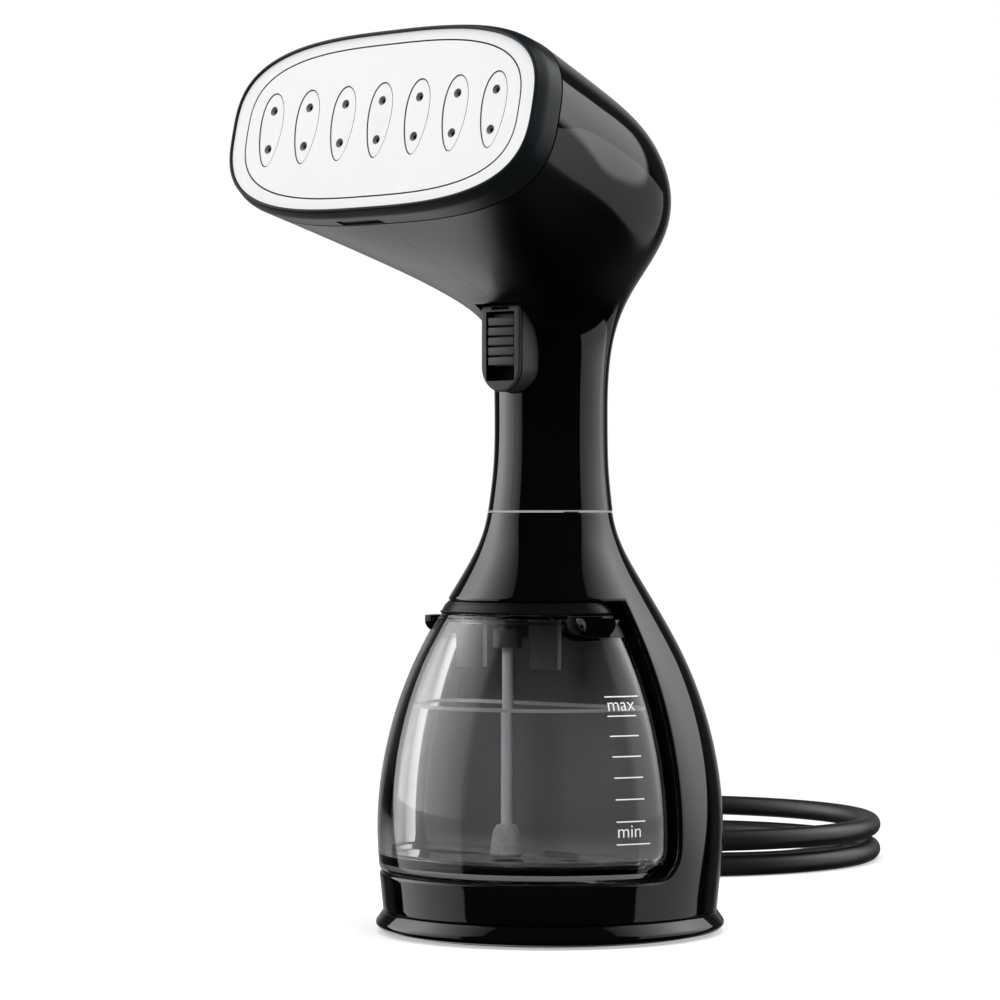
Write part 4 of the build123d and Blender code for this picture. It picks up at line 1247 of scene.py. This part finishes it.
def hole_rings(up):
    """Countersunk hole: wide at the recess, narrow behind."""
    sizes = ((1.9, plate_recess - 0.3), (1.5, plate_recess + recess_depth), (0.75, 1.9), (0.75, 5.0))
    rings = []
    for radius, depth in sizes:
        turns = [2 * math.pi * step / 24 for step in range(24)]
        rings.append([on_face(radius * math.cos(t), up + radius * math.sin(t), depth) for t in turns])
    return rings


# %% Rows of copies
def repeated(obj, pitch, count, finish):
    """Repeat a piece in a row, centred on it, by a node tree of its own."""
    tree, given = begin_tree(obj.name, {"Count": count, "Pitch": pitch})
    line = node_step(tree, "GeometryNodeMeshLine", Count=given["Count"], Offset=given["Pitch"],
                     Start_Location=Vector(pitch) * (1 - count) / 2)
    copies = node_step(tree, "GeometryNodeInstanceOnPoints", Points=line.outputs["Mesh"],
                       Instance=given["Geometry"])
    row = obj.modifiers.new("row", "NODES")
    row.node_group = end_tree(tree, copies.outputs["Instances"], finish)
    settle(obj)


# %% Steam plate
plate_outline = superellipse(*plate_half, face_power, bezel_turns)
plate = face_prism("steam_plate_face", plate_outline, plate_recess, plate_back)
border = groove_cutter("border_groove", border_outline)
drops = face_prism("drops", drop_outline(0.2), 0.3, plate_recess + recess_depth)
drop_lines = groove_cutter("drop_grooves", drop_outline)
upper_holes = loft("upper_holes", hole_rings(hole_spacing / 2))
lower_holes = loft("lower_holes", hole_rings(-hole_spacing / 2))
for cutter in (drops, drop_lines, upper_holes, lower_holes):
    repeated(cutter, (drop_pitch * mm, 0, 0), drop_count, "plate_white")
cut(plate, drops)
cut(plate, border)
cut(plate, drop_lines)
cut(plate, upper_holes, lower_holes)
dress(plate, "main", "plate_white", "steam_plate", sharp=20)
surface("painted_recess_shade", (0.05, 0.05, 0.052), (0.07, 0.07, 0.072), (0.4, 0.5), 2500, 4e-6)
surface("painted_sink_shade", (0.13, 0.13, 0.132), (0.16, 0.16, 0.162), (0.3, 0.4), 2500, 4e-6)
plate.data.materials.append(finishes["painted_recess_shade"])
plate.data.materials.append(finishes["painted_sink_shade"])
# Painted shade: steep walls get the darker grey, slanted ones such as countersinks the lighter grey.
steep_slant = 0.55
flat_slant = 0.97
for face in plate.data.polygons:
    slant = abs(face.normal.dot(plate_normal))
    if steep_slant < slant < flat_slant:
        face.material_index = 2
    elif slant < flat_slant:
        face.material_index = 1

# %% [markdown]
# ## Trigger and slider
# The trigger is a block with a half-round lower end and softened edges. A pocket in its face holds a ribbed
# slider, and the free part of the pocket below it is painted near black as shade. One rib is drawn and
# Geometry Nodes repeat it, so that pitch and count are easy to change.

# %% Trigger
trigger_face = -25.0
trigger_back = -10.2
slot_width = 12.0
slot_low = 179.3
slot_high = 201.7
slot_depth = 5.4
line_front = -24.1
line_back = -23.6
trigger = prism("trigger_block", trigger_outline(0.0), trigger_face, trigger_back, 1)
bevel(trigger, 0.8, 4, 50)
slot_outline = rounded(box_outline((-slot_width / 2, slot_low), (slot_width / 2, slot_high)), 0.6, 3)
pocket = prism("slider_pocket", slot_outline, trigger_face - 2, trigger_face + slot_depth, 1)
stem_slot = prism("stem_slot", box_outline((-2.4, 184.5), (2.4, 196.5)), trigger_face, trigger_face + 12, 1)
notch_outline = box_outline((-3.8, 202.2), (3.8, 203.2))
notch = prism("top_notch", notch_outline, trigger_face - 2, trigger_face + 1.2, 1)
line_section = [(1.0, line_front), (-0.5, line_front), (-0.5, line_back), (1.0, line_back)]
line_rings = [[(x, y, z) for x, z in trigger_outline(grow)] for grow, y in line_section + line_section[:1]]
edge_line = loft("trigger_line", line_rings, caps=False)
cut(trigger, pocket, stem_slot, notch, edge_line)
dress(trigger, "trigger", "boss_grey", "trigger", sharp=40)
# Near black for the fine joint line round the face, and painted shade on the free part of the pocket.
surface("dark_joint_and_painted_shade", (0.002, 0.002, 0.002), (0.003, 0.003, 0.003), (0.6, 0.7), 3000, 4e-6, specular=0.1)
trigger.data.materials.append(finishes["dark_joint_and_painted_shade"])
for face in trigger.data.polygons:
    x, y, z = face.center / mm
    in_slot = abs(x) < slot_width / 2 + 0.01 and slot_low - 0.01 < z < slot_high + 0.01
    in_line = line_front - 0.05 < y < line_back + 0.05
    if in_line or in_slot and y > trigger_face + 0.3:
        face.material_index = 1

# %% Slider
slider_low = 184.1
slider_high = 201.2
slider_width = slot_width - 0.7
slider_floor = trigger_face + slot_depth - 0.3
rib_pitch = 3.2
rib_height = 2.75
rib_count = 5
base_outline = box_outline((-slider_width / 2, slider_low), (slider_width / 2, slider_high))
slider = prism("slider_base", base_outline, slider_floor - 1.9, slider_floor, 1)
bevel(slider, 0.2, 2)
rib_outline = box_outline((-slider_width / 2, -rib_height / 2), (slider_width / 2, rib_height / 2))
rib = prism("slider_ribs", rib_outline, trigger_face + 0.3, slider_floor - 1.8, 1)
bevel(rib, 0.35, 3)
shift(rib, 0, 0, slider_low + rib_pitch * rib_count / 2)
repeated(rib, (0, 0, rib_pitch * mm), rib_count, "boss_grey")
dress(slider, "slider", "boss_grey", "slide_switch")
dress(rib, "slider", "boss_grey")

# %% [markdown]
# ## Cord boot and plug
# The boot is a turned rubber sleeve with slots that let it bend. The plug is a moulded body with a waisted
# grip. It is lofted along the end of the cord, because its section changes from a circle to a block with
# soft corners.

# %% Cord boot
boot_line = [(4.0, 49.0), (7.6, 50.4), (7.6, 52.0), (5.9, 52.4), (5.9, 56.6), (8.4, 56.8), (8.4, 58.4)]
for ring in range(4):
    start = 58.6 + 2.9 * ring
    outer = 6.8 - 0.42 * ring
    boot_line += [(outer, start), (outer - 0.1, start + 1.6), (4.9, start + 1.7), (4.9, start + 2.6)]
boot_line += [(5.3, 70.2), (5.1, 71.0), (4.02, 71.0)]
boot = lathe("cord_sleeve", rounded(boot_line, 0.4, 3, False), 64)
for vertex in boot.data.vertices:
    x, y, z = vertex.co
    vertex.co = (x, z, y + boot_tip[2] * mm)
outward(boot)
dress(boot, "main", "soft_black", "cord_boot")

# %% Plug
plug_start = Vector(tail_route[-1])
plug_way = (plug_start - Vector(tail_route[-2])).normalized()
plug_across = plug_way.cross(Vector((0, 0, 1))).normalized()
plug_up = plug_across.cross(plug_way)
plug_turns = even_turns(1, 1, 3, 0, 2 * math.pi, 49)[:-1]
plug_length = 40.0
plug_sections = [(0.0, 4.6, 4.6, 2.0), (0.6, 5.0, 5.0, 2.0), (13.0, 6.3, 6.2, 2.0), (15.0, 8.0, 6.8, 2.4),
                 (18.0, 10.4, 7.4, 3.0), (24.0, 10.0, 6.9, 3.4), (30.0, 10.6, 7.2, 3.6),
                 (36.0, 11.8, 7.9, 4.0), (39.2, 12.0, 8.0, 4.2), (plug_length, 11.4, 7.4, 4.2)]
plug_places, *plug_sizes = zip(*plug_sections)
plug_curves = [smooth_curve(plug_places, values) for values in plug_sizes]
plug_rings = []
for along_plug in np.linspace(0, plug_length, 60):
    width, height, power = [curve(along_plug) for curve in plug_curves]
    middle = plug_start + plug_way * along_plug
    outline = superellipse(width, height, power, plug_turns)
    plug_rings.append([tuple(middle + plug_across * x + plug_up * y) for x, y in outline])
plug = loft("plug_grip", plug_rings)
dress(plug, "main", "soft_black", "plug_body")

# %% [markdown]
# ## Studio
# The floor and the surroundings are white for the camera and through the tank. For reflections the room is a
# studio: one tall soft box on each side, a pale sweep behind and below, and dark in front, which draws the
# crisp light bands on the black gloss. Lamps could give these bands too, but the world can shade each box by
# direction. The lamps light the matt surfaces and give the soft shadow under the foot.

# %% Floor
floor_reach = 6000
floor_near = 0.25
floor_far = 0.7
floor_dim = 0.45
floor_outline = box_outline((-floor_reach, -floor_reach), (floor_reach, floor_reach))
floor = piece("floor", [(x, y, 0) for x, y in floor_outline], [(0, 1, 2, 3)])
floor_finish, floor_tree, floor_shader, floor_place = node_tree("floor_white")
floor_shader.inputs["Roughness"].default_value = 1.0
floor_shader.inputs["Specular IOR Level"].default_value = 0.0
floor_shader.inputs["Emission Color"].default_value = (1, 1, 1, 1)
floor_path = floor_tree.nodes.new("ShaderNodeLightPath").outputs


def along(tree, way, direction):
    """How far a place or a view direction lies along one direction."""
    return node_step(tree, "ShaderNodeVectorMath", way, direction, operation="DOT_PRODUCT").outputs["Value"]


floor_distance = node_step(floor_tree, "ShaderNodeVectorMath", floor_place, operation="LENGTH")
floor_away = node_range(floor_tree, floor_distance.outputs["Value"], floor_near, floor_far)
floor_side = node_math(floor_tree, "ABSOLUTE", along(floor_tree, floor_place, to_right))
floor_turn = node_math(floor_tree, "ARCTAN2", floor_side, along(floor_tree, floor_place, -to_camera))
floor_behind = node_range(floor_tree, floor_turn, math.radians(25), math.radians(12))
floor_through = node_math(floor_tree, "MULTIPLY", floor_path["Is Transmission Ray"], floor_behind)
floor_seen = node_math(floor_tree, "MAXIMUM", floor_path["Is Camera Ray"], floor_through)
floor_glow = node_range(floor_tree, floor_away, 0.0, 1.0, floor_dim, 1.0)
floor_light = node_math(floor_tree, "MULTIPLY", floor_seen, floor_glow)
floor_colour = colour_between(floor_tree, floor_away, (0.6, 0.6, 0.6), (0.0, 0.0, 0.0), 0.0, 1.0)
floor_tree.links.new(floor_light, floor_shader.inputs["Emission Strength"])
floor_tree.links.new(floor_colour, floor_shader.inputs["Base Color"])
floor.data.materials.append(floor_finish)
floor.visible_glossy = False
print("floor is", 2 * floor_reach * mm, "m wide")

# %% Helpers for the world
world = bpy.data.worlds.new("studio")
bpy.context.scene.world = world
world.use_nodes = True
room = world.node_tree
room.nodes.clear()
room_light = node_step(room, "ShaderNodeBackground", Color=(1, 1, 1, 1))
node_step(room, "ShaderNodeOutputWorld", Surface=room_light.outputs[0])
room_path = room.nodes.new("ShaderNodeLightPath").outputs
room_way = room.nodes.new("ShaderNodeTexCoord").outputs["Generated"]


def times(first, *factors):
    """Product of two or more values."""
    for factor in factors:
        first = node_math(room, "MULTIPLY", first, factor)
    return first


def plus(first, second):
    """Sum of two values."""
    return node_math(room, "ADD", first, second)


def minus(first, second):
    """Difference of two values."""
    return node_math(room, "SUBTRACT", first, second)


def between(low, high, share):
    """Mix of two values: the first at share 0, the second at share 1."""
    return plus(times(low, minus(1.0, share)), times(high, share))


def slope(value, start, end):
    """Straight rise from 0 at start to 1 at end, in degrees."""
    return node_range(room, value, math.radians(start), math.radians(end))


def ramp(value, start, end):
    """Smooth step from 0 at start to 1 at end, in degrees."""
    result = slope(value, start, end)
    result.node.interpolation_type = "SMOOTHSTEP"
    return result


def window(value, low, high, edge):
    """1 between two angles, with soft edges."""
    return times(ramp(value, low - edge, low + edge), ramp(value, high + edge, high - edge))


# %% Soft boxes
to_side = along(room, room_way, to_right)
azimuth = node_math(room, "ARCTAN2", to_side, along(room, room_way, to_camera))
sideways = node_math(room, "ABSOLUTE", azimuth)
elevation = node_math(room, "ARCSINE", along(room, room_way, (0, 0, 1)))
box_end = minus(sideways, times(node_math(room, "MINIMUM", elevation, 0.25), 0.75))
box_shape = times(ramp(sideways, 60, 62), ramp(box_end, 131, 129), window(elevation, -22, 64, 1.0))
box_rise = times(slope(sideways, 60, 108), 2.7)
box_fall = times(slope(sideways, 116, 138), 1.6)
box_body = plus(minus(box_rise, box_fall), 0.45)
box_foot = plus(times(slope(azimuth, -60, -108), 0.8), 0.75)
raised = between(ramp(elevation, -10, 2), slope(elevation, -11, 32), ramp(azimuth, -1, 1))
box_top = minus(1.0, times(ramp(elevation, 30, 60), 0.55))
boxes = times(box_shape, between(box_foot, box_body, raised), box_top)
print("soft boxes use", len(room.nodes), "nodes")

# %% Sweep and rim light
sweep_light = 1.42
from_back = node_math(room, "ARCTAN2", to_side, along(room, room_way, -to_camera))
sweep_across = times(ramp(from_back, 12, -22), ramp(from_back, -28, -22))
sweep = times(sweep_across, slope(elevation, -7, -36), ramp(elevation, -66, -56))
rim = plus(times(ramp(sideways, 150, 168), 0.25), times(ramp(sideways, 130, 140), 0.035))
rim = times(rim, window(elevation, -40, 24, 6.0))
studio = plus(boxes, plus(times(sweep, sweep_light), rim))
print("sweep and rim light bring them to", len(room.nodes), "nodes")

# %% Light for each kind of ray
plain_light = 0.45
studio_through = 0.3
glossy = room_path["Is Glossy Ray"]
through = room_path["Is Transmission Ray"]
seen = node_math(room, "MAXIMUM", room_path["Is Camera Ray"], times(through, ramp(sideways, 155, 168)))
shiny = node_math(room, "MAXIMUM", glossy, times(through, studio_through))
matt = minus(1.0, node_math(room, "MAXIMUM", glossy, through))
lit = plus(times(shiny, studio), times(matt, plain_light))
room.links.new(between(lit, 1.0, seen), room_light.inputs["Strength"])
print("world has", len(room.nodes), "nodes")

# %% Lamps
lamp_target = Vector((0, 0, 0.15))


def soft_lamp(name, azimuth_deg, elevation_deg, distance, size, power):
    """Square soft lamp aimed at the middle of the steamer, turned from the camera to its right."""
    turn = math.radians(azimuth_deg)
    rise = math.radians(elevation_deg)
    level = to_camera * math.cos(turn) + to_right * math.sin(turn)
    direction = level * math.cos(rise) + Vector((0, 0, math.sin(rise)))
    lamp = add_object(name, bpy.data.lights.new(name, "AREA"))
    lamp.data.size = size
    lamp.data.energy = power
    lamp.location = lamp_target + direction * distance
    lamp.rotation_euler = (-direction).to_track_quat("-Z", "Y").to_euler()
    lamp.visible_glossy = False
    lamp.visible_transmission = False
    return lamp


soft_lamp("overhead", 10, 78, 1.3, 1.1, 16)
soft_lamp("front_left", -42, 28, 1.4, 0.9, 10)
soft_lamp("right", 75, 35, 1.4, 0.8, 8)
head_panel = soft_lamp("head_panel", 128, -9, 0.75, 0.3, 0.11)
head_panel.location.z += 0.085
head_panel.visible_glossy = True
lit_by_panel = bpy.data.collections.new("lit_by_panel")
for half in head_halves:
    lit_by_panel.objects.link(half)
head_panel.light_linking.receiver_collection = lit_by_panel
print("studio ready")
